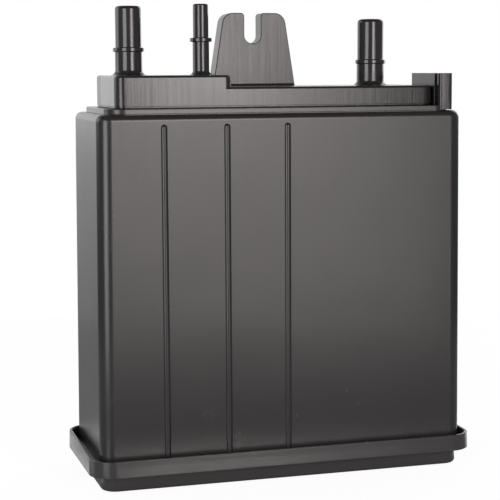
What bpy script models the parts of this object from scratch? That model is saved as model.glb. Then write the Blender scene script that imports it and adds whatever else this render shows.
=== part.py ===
"""Charcoal canister: a moulded fuel-vapour canister with three hose spigots, a notched mounting plate and,
inside, two chambers of activated carbon held between fleece pads by sprung plates.

Run it with blender --background --python part.py, or from the text editor. Sizes are in metres, +Z is up and
+Y points away from the face with the beads. The origin is the middle of the foot.
"""

import math

import bmesh
import bpy
from mathutils import Matrix, Vector

MM = 0.001

# Housing: the tall box. Widths are taken at its foot, and its walls lean in by the draft.
HOUSING_WIDTH = 239.0 * MM
HOUSING_DEPTH = 85.8 * MM
HOUSING_HEIGHT = 217.8 * MM
HOUSING_WALL = 2.5 * MM
HOUSING_CORNER = 8.5 * MM
CROWN_ROUNDING = 4.3 * MM
DRAFT_SIDES = math.radians(0.414)
DRAFT_FACES = math.radians(0.08)
FOOT_FLANGE_REACH = 3.0 * MM
FOOT_FLANGE_HEIGHT = 3.0 * MM

# Plinth: the raised seat on the crown that carries the manifold.
PLINTH_HEIGHT = 3.3 * MM
PLINTH_END_INSET = 6.0 * MM
PLINTH_FACE_INSET = 2.9 * MM
PLINTH_CORNER = 11.9 * MM
PLINTH_WALL = 2.5 * MM
PLINTH_EDGE = 0.7 * MM

# Beads on the two large faces, placed by the middle of each.
BEAD_PLACES = (-77.8 * MM, -38.3 * MM, 0.4 * MM)
BEAD_RADIUS = 2.15 * MM
BEAD_PROUD = 1.4 * MM
BEAD_TOP_DROP = 6.0 * MM

# Walls inside the housing. The partition is placed by the width of the vent chamber, and the baffle hangs between
# the tank and purge ports, a little nearer the tank's.
VENT_CHAMBER_WIDTH = 79.3 * MM
PARTITION_WALL = 2.4 * MM
BAFFLE_ASIDE = 0.3 * MM
BAFFLE_DEPTH = 34.0 * MM
SEAT_STRIP = 3.2 * MM
GRID_BAR = 2.0 * MM
GRID_PITCH = 15.0 * MM

# Mounting rail at the right-hand end of the crown: a front post, a neck with a groove on both sides of it and a
# long wall, cored from the right between its end flanges and a middle rib.
RAIL_END_INSET = 7.3 * MM
RAIL_WIDTH = 9.1 * MM
RAIL_FRONT = -39.7 * MM
RAIL_POST = 4.3 * MM
RAIL_GROOVE = 4.3 * MM
RAIL_WALL_LENGTH = 37.7 * MM
RAIL_WALL = 2.8 * MM
RAIL_HEIGHT = 23.5 * MM
RAIL_EDGE = 1.8 * MM

# Bottom cover: a tray with an upstanding rim round the housing's foot.
RIM_BOTTOM = 10.5 * MM
RIM_HEIGHT = 10.3 * MM
RIM_OVERHANG = 6.5 * MM
RIM_WALL = 2.0 * MM
TRAY_INSET = 1.1 * MM
TRAY_CORNER = 9.6 * MM
TRAY_WALL = 2.5 * MM
TRAY_FOOT_ROUNDING = 2.0 * MM
FLOOR_RAISED = 4.0 * MM
FLOOR_THICKNESS = 2.5 * MM
FOOT_BAND = 5.0 * MM
STIFFENER_WALL = 2.0 * MM
STIFFENERS_ACROSS = 7
STIFFENERS_ALONG = 2

# Top manifold: a two-height dome, tall over the tank and purge ports and low from there to the vent port.
MANIFOLD_LEFT_INSET = 14.5 * MM
MANIFOLD_RIGHT_INSET = 16.9 * MM
MANIFOLD_STEP = -31.8 * MM
MANIFOLD_DEPTH = 65.2 * MM
MANIFOLD_TALL_HEIGHT = 19.5 * MM
MANIFOLD_LOW_HEIGHT = 12.2 * MM
MANIFOLD_CORNER = 5.7 * MM
MANIFOLD_STEP_CORNER = 5.0 * MM
MANIFOLD_END_CORNER = 7.5 * MM
MANIFOLD_EDGE = 2.0 * MM
MANIFOLD_WALL = 2.5 * MM
WELD_GROOVE_HEIGHT = 0.7 * MM
WELD_GROOVE_DEPTH = 0.7 * MM
WELD_GROOVE_END = 0.15 * MM

# Spigots: place along X, length above the roof it stands on, tube radius, tip rounding, bead radius, bead drop
# below the tip, fillet at the foot and bore radius. The outer two are placed from the manifold's ends.
TANK_INSET = 15.0 * MM
TANK_LENGTH = 42.8 * MM
TANK_RADIUS = 7.93 * MM
TANK_TIP_ROUNDING = 2.1 * MM
TANK_BEAD_RADIUS = 9.68 * MM
TANK_BEAD_DROP = 26.9 * MM
TANK_FILLET = 3.5 * MM
TANK_BORE = 5.5 * MM
PURGE_PLACE = -43.4 * MM
PURGE_LENGTH = 44.4 * MM
PURGE_RADIUS = 4.87 * MM
PURGE_TIP_ROUNDING = 1.0 * MM
PURGE_BEAD_RADIUS = 6.88 * MM
PURGE_BEAD_DROP = 22.4 * MM
PURGE_FILLET = 2.8 * MM
PURGE_BORE = 3.0 * MM
VENT_INSET = 31.6 * MM
VENT_LENGTH = 42.7 * MM
VENT_RADIUS = 8.13 * MM
VENT_TIP_ROUNDING = 1.9 * MM
VENT_BEAD_RADIUS = 9.84 * MM
VENT_BEAD_DROP = 27.4 * MM
VENT_FILLET = 3.3 * MM
VENT_BORE = 5.7 * MM
SPIGOT_LINE = 0.0 * MM
BEAD_THICKNESS = 2.35 * MM
BEAD_SOFTENING = 0.3 * MM
STEM_THICKER = 0.35 * MM

# Notched mounting plate on the manifold, cored from the back. Its outline narrows upwards.
PLATE_MIDDLE = -2.7 * MM
PLATE_FOOT_WIDTH = 56.3 * MM
PLATE_TOP_WIDTH = 41.7 * MM
PLATE_HEIGHT = 47.0 * MM
PLATE_FRONT = 18.4 * MM
PLATE_THICKNESS = 12.6 * MM
PLATE_WEB = 3.0 * MM
PLATE_RIM = 2.6 * MM
PLATE_CORNER = 7.4 * MM
PLATE_EDGE = 1.1 * MM
PLATE_FOOT_FILLET = 2.4 * MM
NOTCH_WIDTH = 12.35 * MM
NOTCH_DEPTH = 19.5 * MM
NOTCH_MOUTH = 2.2 * MM
PLATE_RIB = 2.4 * MM

# Filling, from the bottom up.
PLATE_UNDERSIDE = 31.0 * MM
PRESSURE_PLATE = 3.0 * MM
LOWER_PAD = 4.0 * MM
UPPER_PAD = 5.0 * MM
VENT_MIDDLE_PAD = 4.0 * MM
VENT_MIDDLE_HEIGHT = 128.0 * MM
PARTITION_FOOT = 25.0 * MM
PLATE_CLEARANCE = 0.8 * MM
PLATE_HOLE = (9.0 * MM, 13.0 * MM)
PLATE_HOLE_PITCH = (15.0 * MM, 21.0 * MM)
PLATE_MARGIN = 5.0 * MM
SPRING_WIRE = 1.5 * MM
SPRING_RADIUS = 9.5 * MM
SPRING_TURNS = 5
SPRING_END_PITCH = 1.9 * MM
SPRING_POINTS_A_TURN = 12
BOSS_HEIGHT = 3.0 * MM
BOSS_CLEARANCE = 1.2 * MM
MAIN_SPRING_SPACING = (86.0 * MM, 34.0 * MM)
VENT_SPRING_SPACING = 36.0 * MM

GAP = 0.3 * MM
SINK = 1.0 * MM
ARC_STEPS = 6
ROUND_STEPS = 24

COLOURS = {
    "housing": ((0.020, 0.020, 0.021), 0.42),
    "top_manifold": ((0.024, 0.023, 0.024), 0.40),
    "bottom_cover": ((0.020, 0.020, 0.021), 0.42),
    "carbon": ((0.012, 0.012, 0.012), 0.95),
    "fleece": ((0.62, 0.60, 0.55), 0.95),
    "pressure_plate": ((0.045, 0.045, 0.048), 0.55),
    "spring": ((0.46, 0.46, 0.47), 0.35),
}

# Levels that follow from the sizes above.
TRAY_FLOOR = FLOOR_RAISED + FLOOR_THICKNESS
RIM_TOP = RIM_BOTTOM + RIM_HEIGHT
CHANNEL_FLOOR = RIM_BOTTOM + TRAY_WALL
HOUSING_FOOT = CHANNEL_FLOOR + GAP
HOUSING_TOP = HOUSING_FOOT + HOUSING_HEIGHT
BEAD_TOP = HOUSING_TOP - BEAD_TOP_DROP
RAIL_TOP = HOUSING_TOP + RAIL_HEIGHT
DECK_UNDERSIDE = HOUSING_TOP - HOUSING_WALL
PLINTH_TOP = HOUSING_TOP + PLINTH_HEIGHT
RECESS_ROOF = PLINTH_TOP - PLINTH_WALL
MANIFOLD_FOOT = PLINTH_TOP + GAP
MANIFOLD_TALL_TOP = MANIFOLD_FOOT + MANIFOLD_TALL_HEIGHT
MANIFOLD_LOW_TOP = MANIFOLD_FOOT + MANIFOLD_LOW_HEIGHT
PLATE_TOP = MANIFOLD_LOW_TOP + PLATE_HEIGHT
NOTCH_BOTTOM = PLATE_TOP - NOTCH_DEPTH
PLATE_TOPSIDE = PLATE_UNDERSIDE + PRESSURE_PLATE
LOWER_PAD_BASE = PLATE_TOPSIDE + GAP
BED_BASE = LOWER_PAD_BASE + LOWER_PAD + GAP
UPPER_PAD_BASE = DECK_UNDERSIDE - GAP - UPPER_PAD
BED_TOP = UPPER_PAD_BASE - GAP
PLATE_BACK = PLATE_FRONT + PLATE_THICKNESS

# Places along X that follow from the sizes above.
HOUSING_END = HOUSING_WIDTH / 2
PARTITION_PLACE = HOUSING_END - VENT_CHAMBER_WIDTH
RAIL_LEFT = HOUSING_END - RAIL_END_INSET - RAIL_WIDTH
MANIFOLD_LEFT = MANIFOLD_LEFT_INSET - HOUSING_END
MANIFOLD_RIGHT = HOUSING_END - MANIFOLD_RIGHT_INSET
TANK_PLACE = MANIFOLD_LEFT + TANK_INSET
VENT_PLACE = MANIFOLD_RIGHT - VENT_INSET
BAFFLE_PLACE = (TANK_PLACE + PURGE_PLACE) / 2 - BAFFLE_ASIDE


def housing_half(level, inset=0.0):
    """Half width and half depth of the housing's outer walls at a level, less an inset."""
    rise = level - HOUSING_FOOT
    half_width = HOUSING_WIDTH / 2 - math.tan(DRAFT_SIDES) * rise
    half_depth = HOUSING_DEPTH / 2 - math.tan(DRAFT_FACES) * rise
    return half_width - inset, half_depth - inset


def clear_scene():
    for thing in list(bpy.data.objects):
        bpy.data.objects.remove(thing, do_unlink=True)


def make_collection(name):
    group = bpy.data.collections.new(name)
    bpy.context.scene.collection.children.link(group)
    return group


def make_material(name):
    colour, roughness = COLOURS[name]
    material = bpy.data.materials.new(name)
    material.use_nodes = True
    shader = material.node_tree.nodes["Principled BSDF"]
    shader.inputs["Base Color"].default_value = (*colour, 1.0)
    shader.inputs["Roughness"].default_value = roughness
    shader.inputs["Metallic"].default_value = 1.0 if name == "spring" else 0.0
    return material


def mesh_object(name, bm):
    mesh = bpy.data.meshes.new(name)
    bm.to_mesh(mesh)
    bm.free()
    return bpy.data.objects.new(name, mesh)


def as_part(thing, material):
    """A finished sub-part, in the canister's collection."""
    thing.data.materials.clear()
    thing.data.materials.append(MATERIALS[material])
    PARTS.objects.link(thing)
    return thing


def as_tool(thing):
    """A shape that another one is joined with or cut by."""
    TOOLS.objects.link(thing)
    thing.hide_render = True
    thing.display_type = "WIRE"
    return thing


def boolean(target, tool, operation):
    if tool.name not in TOOLS.objects:
        as_tool(tool)
    step = target.modifiers.new(tool.name, "BOOLEAN")
    step.solver = "EXACT"
    step.operation = operation
    step.object = tool


def join(target, *tools):
    for tool in tools:
        boolean(target, tool, "UNION")


def cut(target, *tools):
    for tool in tools:
        boolean(target, tool, "DIFFERENCE")


def level_edges(bm, level):
    """The edges that lie in a horizontal plane at a level."""
    return [e for e in bm.edges if all(abs(v.co.z - level) < 1e-7 for v in e.verts)]


def upright_edges(bm, side):
    """The edges that rise, on the left (-1), on the right (+1) or on both sides (0)."""
    rising = [e for e in bm.edges if abs(e.verts[0].co.z - e.verts[1].co.z) > 1e-6]
    middle = sum(v.co.x for v in bm.verts) / len(bm.verts)
    return [e for e in rising if side == 0 or (e.verts[0].co.x - middle) * side > 0]


def bevel_edges(bm, edges, width, steps=ARC_STEPS):
    if width > 0:
        bmesh.ops.bevel(
            bm, geom=edges, offset=width, segments=steps, profile=0.5, affect="EDGES", clamp_overlap=True
        )


def block(name, low, high, top=None, corner=0.0, right_corner=None, crown=0.0, foot=0.0):
    """A box from its low to its high corner, whose top may be another rectangle ((x, y), (x, y)), with
    rounded upright edges and a rounded crown and foot."""
    bm = bmesh.new()
    bmesh.ops.create_cube(bm, size=1.0)
    top_low, top_high = top or (low[:2], high[:2])
    for vert in bm.verts:
        upper = vert.co.z > 0
        near, far = (top_low, top_high) if upper else (low, high)
        x = far[0] if vert.co.x > 0 else near[0]
        y = far[1] if vert.co.y > 0 else near[1]
        vert.co = Vector((x, y, high[2] if upper else low[2]))
    if right_corner is None:
        bevel_edges(bm, upright_edges(bm, 0), corner)
    else:
        bevel_edges(bm, upright_edges(bm, -1), corner)
        bevel_edges(bm, upright_edges(bm, 1), right_corner)
    bevel_edges(bm, level_edges(bm, high[2]), crown, 4)
    bevel_edges(bm, level_edges(bm, low[2]), foot, 3)
    return mesh_object(name, bm)


def block_set(name, boxes):
    """Boxes that don't touch, as one object."""
    bm = bmesh.new()
    for low, high in boxes:
        middle = (Vector(low) + Vector(high)) / 2
        size = Vector(high) - Vector(low)
        place = Matrix.Translation(middle) @ Matrix.Diagonal((*size, 1.0))
        bmesh.ops.create_cube(bm, size=1.0, matrix=place)
    return mesh_object(name, bm)


def housing_block(name, bottom, top, inset, **rounding):
    """A box that follows the drafted walls of the housing, between two levels."""
    wide, deep = housing_half(bottom, inset)
    wide_top, deep_top = housing_half(top, inset)
    narrow = ((-wide_top, -deep_top), (wide_top, deep_top))
    return block(name, (-wide, -deep, bottom), (wide, deep, top), top=narrow, **rounding)


def turned(name, profile, place, steps=ROUND_STEPS):
    """A solid of revolution about an upright axis, its profile running from one flat end to the other."""
    bm = bmesh.new()
    verts = [bm.verts.new((place[0] + radius, place[1], height)) for radius, height in profile]
    edges = [bm.edges.new(pair) for pair in zip(verts, verts[1:])]
    bmesh.ops.spin(
        bm,
        geom=verts + edges,
        cent=(place[0], place[1], 0.0),
        axis=(0.0, 0.0, 1.0),
        angle=math.tau,
        steps=steps,
        use_merge=True,
    )
    bmesh.ops.remove_doubles(bm, verts=bm.verts, dist=1e-6)
    bmesh.ops.holes_fill(bm, edges=[e for e in bm.edges if e.is_boundary], sides=0)
    bmesh.ops.recalc_face_normals(bm, faces=bm.faces)
    return mesh_object(name, bm)


def cylinder(name, place, radius, bottom, top, steps=ROUND_STEPS):
    """An upright cylinder, turned by half a step against the turned solids."""
    bm = bmesh.new()
    middle = Vector((place[0], place[1], (bottom + top) / 2))
    bmesh.ops.create_cone(
        bm,
        cap_ends=True,
        segments=steps,
        radius1=radius,
        radius2=radius,
        depth=top - bottom,
        matrix=Matrix.Translation(middle) @ Matrix.Rotation(math.pi / steps, 4, "Z"),
    )
    return mesh_object(name, bm)


def moved_sides(corners, inset):
    """The corners of an outline after each side moves inwards. A corner is x, z and its radius; the outline
    runs anticlockwise, and a hollow corner's radius grows by the inset where a full one's shrinks."""
    count = len(corners)
    lines = []
    for i in range(count):
        start = Vector(corners[i][:2])
        along = (Vector(corners[(i + 1) % count][:2]) - start).normalized()
        inwards = Vector((-along.y, along.x))
        lines.append((start + inwards * inset, along))
    moved = []
    for i in range(count):
        before, along_before = lines[i - 1]
        here, along = lines[i]
        turn = along_before.x * along.y - along_before.y * along.x
        offset = here - before
        reach = (offset.x * along.y - offset.y * along.x) / turn
        corner = before + along_before * reach
        radius = corners[i][2]
        radius = max(radius - inset, 0.4 * MM) if turn > 0 else radius + inset
        moved.append((corner.x, corner.y, radius))
    return moved


def rounded_outline(corners, steps=ARC_STEPS):
    """The outline's points, with an arc at each corner."""
    count = len(corners)
    outline = []
    for i in range(count):
        corner = Vector(corners[i][:2])
        radius = corners[i][2]
        back = (Vector(corners[i - 1][:2]) - corner).normalized()
        ahead = (Vector(corners[(i + 1) % count][:2]) - corner).normalized()
        half = back.angle(ahead) / 2
        if radius <= 0:
            outline.append(corner)
            continue
        centre = corner + (back + ahead).normalized() * (radius / math.sin(half))
        first = corner + back * (radius / math.tan(half)) - centre
        last = corner + ahead * (radius / math.tan(half)) - centre
        sweep = first.angle_signed(last)
        for step in range(steps + 1):
            turn = Matrix.Rotation(-sweep * step / steps, 2)
            outline.append(centre + turn @ first)
    return outline


def flat_sheet(name, outline, front, back):
    """An upright sheet: a flat filled curve drawn in X and Z, thickened from a front to a back plane."""
    curve = bpy.data.curves.new(name, "CURVE")
    curve.dimensions = "2D"
    curve.fill_mode = "BOTH"
    curve.extrude = (back - front) / 2
    spline = curve.splines.new("POLY")
    spline.points.add(len(outline) - 1)
    for point, place in zip(spline.points, outline):
        point.co = (place.x, place.y, 0.0, 1.0)
    spline.use_cyclic_u = True
    drawn = bpy.data.objects.new(name + "_drawn", curve)
    TOOLS.objects.link(drawn)
    mesh = bpy.data.meshes.new_from_object(drawn.evaluated_get(bpy.context.evaluated_depsgraph_get()))
    bpy.data.objects.remove(drawn)
    bpy.data.curves.remove(curve)
    bm = bmesh.new()
    bm.from_mesh(mesh)
    bpy.data.meshes.remove(mesh)
    bmesh.ops.remove_doubles(bm, verts=bm.verts, dist=1e-6)
    bmesh.ops.dissolve_limit(bm, angle_limit=math.radians(0.5), verts=bm.verts, edges=bm.edges)
    upright = Matrix.Translation((0.0, (front + back) / 2, 0.0)) @ Matrix.Rotation(math.pi / 2, 4, "X")
    bmesh.ops.transform(bm, matrix=upright, verts=bm.verts)
    bmesh.ops.recalc_face_normals(bm, faces=bm.faces)
    return mesh_object(name, bm)


def wall_bead(name, place, face):
    """A half-round bead that runs up a drafted wall: a ball whose lower half is drawn down to the foot."""
    bm = bmesh.new()
    bmesh.ops.create_uvsphere(bm, u_segments=12, v_segments=8, radius=BEAD_RADIUS)
    top = BEAD_TOP - BEAD_RADIUS
    foot = HOUSING_FOOT + FOOT_FLANGE_HEIGHT / 2 + BEAD_RADIUS
    inside = BEAD_RADIUS - BEAD_PROUD
    for vert in bm.verts:
        lift = top if vert.co.z > -1e-6 else foot
        level = vert.co.z + lift
        depth = housing_half(level, inside)[1]
        vert.co = Vector((place + vert.co.x, face * depth + vert.co.y, level))
    return mesh_object(name, bm)


def bead_tools():
    tools = []
    for face, side in ((-1, "front"), (1, "back")):
        for number, place in enumerate(BEAD_PLACES, 1):
            tools.append(wall_bead(f"bead_{side}_{number}", place, face))
    return tools


def rail_tools():
    """The front post with its softened front edges, and the neck and cored wall behind it."""
    foot = HOUSING_TOP - 2 * SINK
    right = RAIL_LEFT + RAIL_WIDTH
    post_back = RAIL_FRONT + RAIL_POST
    wall_front = post_back + RAIL_GROOVE
    wall_back = wall_front + RAIL_WALL_LENGTH
    neck_left = RAIL_LEFT + (RAIL_WIDTH - RAIL_WALL) / 2
    post = block("rail_post", (RAIL_LEFT, RAIL_FRONT, foot), (right, post_back, RAIL_TOP), corner=RAIL_EDGE)
    neck = block(
        "rail_neck",
        (neck_left, post_back - SINK, foot),
        (neck_left + RAIL_WALL, wall_front + SINK, RAIL_TOP),
    )
    wall = block("rail_wall", (RAIL_LEFT, wall_front, foot), (right, wall_back, RAIL_TOP))
    return post, neck, wall


def rail_cores():
    """The two pockets in the rail's wall, open to the right and upwards."""
    right = RAIL_LEFT + RAIL_WIDTH
    front = RAIL_FRONT + RAIL_POST + RAIL_GROOVE
    pitch = (RAIL_WALL_LENGTH - RAIL_WALL) / 2
    pockets = []
    for number in range(2):
        start = front + number * pitch + RAIL_WALL
        end = front + (number + 1) * pitch
        pockets.append(((RAIL_LEFT + RAIL_WALL, start, PLINTH_TOP), (right + SINK, end, RAIL_TOP + SINK)))
    return block_set("rail_cores", pockets)


def plinth_half(inset=0.0):
    """Half width and half depth of the plinth at the crown, less an inset."""
    half_width, half_depth = housing_half(HOUSING_TOP)
    return half_width - PLINTH_END_INSET - inset, half_depth - PLINTH_FACE_INSET - inset


def port_windows():
    """The X ranges that are open to the tank, purge and vent plenums."""
    half_width = plinth_half(PLINTH_WALL + SEAT_STRIP)[0]
    left = max(-half_width, MANIFOLD_LEFT + MANIFOLD_WALL)
    right = min(half_width, MANIFOLD_RIGHT - MANIFOLD_WALL)
    return (
        (left, BAFFLE_PLACE - SEAT_STRIP / 2),
        (BAFFLE_PLACE + SEAT_STRIP / 2, PARTITION_PLACE - SEAT_STRIP / 2),
        (PARTITION_PLACE + SEAT_STRIP / 2, right),
    )


def grid_tools():
    """Moulded bars that hold the pads down and keep the plenums open above them."""
    bottom = DECK_UNDERSIDE + GRID_BAR / 4
    top = RECESS_ROOF + PLINTH_WALL / 2
    reach = plinth_half(PLINTH_WALL)[1] + SINK
    bars = []
    for left, right in port_windows():
        count = max(1, round((right - left) / GRID_PITCH) - 1)
        pitch = (right - left) / (count + 1)
        for number in range(1, count + 1):
            middle = left + number * pitch
            bars.append(((middle - GRID_BAR / 2, -reach, bottom), (middle + GRID_BAR / 2, reach, top)))
    across = block_set("grid_across", bars)
    length = plinth_half(PLINTH_WALL)[0] + SINK
    along = block_set(
        "grid_along",
        [((-length, -GRID_BAR / 2, bottom + GRID_BAR / 4), (length, GRID_BAR / 2, top - GRID_BAR / 4))],
    )
    return across, along


def make_housing():
    """Outer form first, then the hollow, then the walls that stand in it."""
    housing = housing_block(
        "housing", HOUSING_FOOT, HOUSING_TOP, 0.0, corner=HOUSING_CORNER, crown=CROWN_ROUNDING
    )
    wide, deep = plinth_half()
    plinth = block(
        "plinth",
        (-wide, -deep, DECK_UNDERSIDE),
        (wide, deep, PLINTH_TOP),
        corner=PLINTH_CORNER,
        crown=PLINTH_EDGE,
    )
    flange = housing_block(
        "foot_flange",
        HOUSING_FOOT,
        HOUSING_FOOT + FOOT_FLANGE_HEIGHT,
        -FOOT_FLANGE_REACH,
        corner=HOUSING_CORNER + FOOT_FLANGE_REACH,
    )
    join(housing, plinth, *bead_tools(), *rail_tools(), flange)
    cut(housing, rail_cores())

    hollow = housing_block(
        "chamber_hollow",
        HOUSING_FOOT - 2 * SINK,
        DECK_UNDERSIDE,
        HOUSING_WALL,
        corner=HOUSING_CORNER - HOUSING_WALL,
        crown=CROWN_ROUNDING - HOUSING_WALL,
    )
    wide, deep = plinth_half(PLINTH_WALL)
    recess = block(
        "plinth_recess",
        (-wide, -deep, DECK_UNDERSIDE - SINK),
        (wide, deep, RECESS_ROOF),
        corner=PLINTH_CORNER - PLINTH_WALL,
    )
    window_reach = MANIFOLD_DEPTH / 2 - MANIFOLD_WALL
    windows = block_set(
        "port_windows",
        [
            ((left, -window_reach, RECESS_ROOF - SINK), (right, window_reach, PLINTH_TOP + SINK))
            for left, right in port_windows()
        ],
    )
    cut(housing, hollow, recess, windows)

    roof = RECESS_ROOF + PLINTH_WALL / 3
    sink_reach = housing_half(DECK_UNDERSIDE, HOUSING_WALL)[1] + SINK
    recess_reach = deep + SINK
    partition = block(
        "partition",
        (PARTITION_PLACE - PARTITION_WALL / 2, -sink_reach, PARTITION_FOOT),
        (PARTITION_PLACE + PARTITION_WALL / 2, sink_reach, DECK_UNDERSIDE + HOUSING_WALL / 2),
    )
    partition_head = block(
        "partition_head",
        (PARTITION_PLACE - PARTITION_WALL / 2, -recess_reach, DECK_UNDERSIDE - SINK),
        (PARTITION_PLACE + PARTITION_WALL / 2, recess_reach, roof),
    )
    baffle = block(
        "baffle",
        (BAFFLE_PLACE - PARTITION_WALL / 2, -sink_reach, DECK_UNDERSIDE - BAFFLE_DEPTH),
        (BAFFLE_PLACE + PARTITION_WALL / 2, sink_reach, DECK_UNDERSIDE + HOUSING_WALL / 2),
    )
    baffle_head = block(
        "baffle_head",
        (BAFFLE_PLACE - PARTITION_WALL / 2, -recess_reach, DECK_UNDERSIDE - SINK),
        (BAFFLE_PLACE + PARTITION_WALL / 2, recess_reach, roof),
    )
    join(housing, partition, partition_head, baffle, baffle_head, *grid_tools())
    as_part(housing, "housing")


def spigot_profile(facts, tip, foot):
    """Half section of a solid spigot, from its flat tip down to its sunk foot."""
    radius, rounding, bead_radius, bead_drop, fillet = facts
    stem = radius + STEM_THICKER
    bead = tip - bead_drop
    half = BEAD_THICKNESS / 2
    blunt = BEAD_SOFTENING
    profile = []
    for step in range(4):
        angle = math.pi / 2 * step / 3
        profile.append((radius - rounding * (1 - math.sin(angle)), tip - rounding * (1 - math.cos(angle))))
    profile += [
        (radius, bead + half),
        (bead_radius - blunt, bead + half),
        (bead_radius, bead + half - blunt),
        (bead_radius, bead - half + blunt),
        (bead_radius - blunt, bead - half),
        (stem, bead - half),
    ]
    for step in range(5):
        angle = math.pi / 2 * step / 4
        profile.append((stem + fillet * (1 - math.cos(angle)), foot + fillet * (1 - math.sin(angle))))
    profile.append((stem + fillet, foot - MANIFOLD_WALL / 2))
    return profile


def spigot_tools():
    """The three solid spigots and the bores that go through them into the plenums."""
    made = (
        ("tank", TANK_PLACE, TANK_LENGTH, TANK_BORE),
        ("purge", PURGE_PLACE, PURGE_LENGTH, PURGE_BORE),
        ("vent", VENT_PLACE, VENT_LENGTH, VENT_BORE),
    )
    forms = {
        "tank": (TANK_RADIUS, TANK_TIP_ROUNDING, TANK_BEAD_RADIUS, TANK_BEAD_DROP, TANK_FILLET),
        "purge": (PURGE_RADIUS, PURGE_TIP_ROUNDING, PURGE_BEAD_RADIUS, PURGE_BEAD_DROP, PURGE_FILLET),
        "vent": (VENT_RADIUS, VENT_TIP_ROUNDING, VENT_BEAD_RADIUS, VENT_BEAD_DROP, VENT_FILLET),
    }
    spigots = []
    bores = []
    for name, place, length, bore in made:
        foot = MANIFOLD_TALL_TOP if place < MANIFOLD_STEP else MANIFOLD_LOW_TOP
        tip = foot + length
        centre = (place, SPIGOT_LINE)
        spigots.append(turned(name + "_spigot", spigot_profile(forms[name], tip, foot), centre))
        bores.append(cylinder(name + "_bore", centre, bore, foot - MANIFOLD_WALL - SINK, tip + SINK))
    return spigots, bores


def plate_half(level):
    """Half the plate's width at a level."""
    lean = (PLATE_FOOT_WIDTH - PLATE_TOP_WIDTH) / 2 / PLATE_HEIGHT
    return PLATE_TOP_WIDTH / 2 + lean * (PLATE_TOP - level)


def plate_corners():
    """The notched outline, anticlockwise in X and Z: x, z and corner radius. It stands sunk in the manifold."""
    sunk = MANIFOLD_LOW_TOP - MANIFOLD_WALL / 2
    half_foot = plate_half(sunk)
    half_top = PLATE_TOP_WIDTH / 2
    half_notch = NOTCH_WIDTH / 2
    right_side = [
        (half_foot, sunk, 0.0),
        (half_top, PLATE_TOP, PLATE_CORNER),
        (half_notch, PLATE_TOP, NOTCH_MOUTH),
        (half_notch, NOTCH_BOTTOM, half_notch * 0.9),
    ]
    left_side = [(-x, z, radius) for x, z, radius in reversed(right_side)]
    return [(PLATE_MIDDLE + x, z, radius) for x, z, radius in right_side + left_side]


def make_mounting_plate():
    """The notched plate as a web with a rim all round it, hollow from the back, with one rib below the notch."""
    corners = plate_corners()
    plate = as_tool(flat_sheet("mounting_plate", rounded_outline(corners), PLATE_FRONT, PLATE_BACK))
    rounding = plate.modifiers.new("edges", "BEVEL")
    rounding.width = PLATE_EDGE
    rounding.segments = 2
    rounding.limit_method = "ANGLE"
    rounding.angle_limit = math.radians(40)
    pocket_outline = rounded_outline(moved_sides(corners, PLATE_RIM), 4)
    pocket = flat_sheet("plate_pocket", pocket_outline, PLATE_FRONT + PLATE_WEB, PLATE_BACK + SINK)
    rib = block(
        "plate_rib",
        (PLATE_MIDDLE - PLATE_RIB / 2, PLATE_FRONT + PLATE_WEB / 2, MANIFOLD_LOW_TOP - MANIFOLD_WALL / 3),
        (PLATE_MIDDLE + PLATE_RIB / 2, PLATE_BACK - SINK, NOTCH_BOTTOM - PLATE_RIM / 2),
    )
    cut(plate, pocket)
    join(plate, rib)
    return plate


def plate_foot_fillet():
    """The hollow fillet along the plate's foot on the low part of the manifold, as a prism along X."""
    radius = PLATE_FOOT_FILLET
    level = MANIFOLD_LOW_TOP
    centre = Vector((PLATE_FRONT - radius, level + radius))
    section = [Vector((PLATE_FRONT + SINK / 2, level + radius)), Vector((PLATE_FRONT, level + radius))]
    for step in range(1, 4):
        angle = math.pi / 2 * step / 4
        section.append(centre + Vector((math.cos(angle), -math.sin(angle))) * radius)
    section += [
        Vector((PLATE_FRONT - radius, level)),
        Vector((PLATE_FRONT - radius, level - SINK)),
        Vector((PLATE_FRONT + SINK / 2, level - SINK)),
    ]
    right = PLATE_MIDDLE + PLATE_FOOT_WIDTH / 2 - PLATE_EDGE
    left = MANIFOLD_STEP - MANIFOLD_WALL / 2
    bm = bmesh.new()
    face = bm.faces.new([bm.verts.new((left, point.x, point.y)) for point in section])
    grown = bmesh.ops.extrude_face_region(bm, geom=[face])
    moved = [item for item in grown["geom"] if isinstance(item, bmesh.types.BMVert)]
    bmesh.ops.translate(bm, verts=moved, vec=(right - left, 0.0, 0.0))
    bmesh.ops.recalc_face_normals(bm, faces=bm.faces)
    return mesh_object("plate_foot_fillet", bm)


def plate_heel():
    """The wedge between the step of the manifold and the left foot of the plate, as a prism along Y."""
    low = MANIFOLD_LOW_TOP
    high = MANIFOLD_TALL_TOP
    behind = MANIFOLD_STEP - MANIFOLD_EDGE * 0.75
    section = [
        (behind, low - MANIFOLD_WALL / 3),
        (PLATE_MIDDLE - plate_half(low) + PLATE_RIM * 0.75, low - MANIFOLD_WALL / 3),
        (PLATE_MIDDLE - plate_half(high + SINK) + PLATE_RIM / 4, high + SINK),
        (behind, high - MANIFOLD_EDGE * 0.6),
    ]
    front, back = PLATE_FRONT + PLATE_EDGE, PLATE_BACK - PLATE_EDGE
    bm = bmesh.new()
    face = bm.faces.new([bm.verts.new((x, front, z)) for x, z in section])
    grown = bmesh.ops.extrude_face_region(bm, geom=[face])
    moved = [item for item in grown["geom"] if isinstance(item, bmesh.types.BMVert)]
    bmesh.ops.translate(bm, verts=moved, vec=(0.0, back - front, 0.0))
    bmesh.ops.recalc_face_normals(bm, faces=bm.faces)
    return mesh_object("plate_heel", bm)


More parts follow.
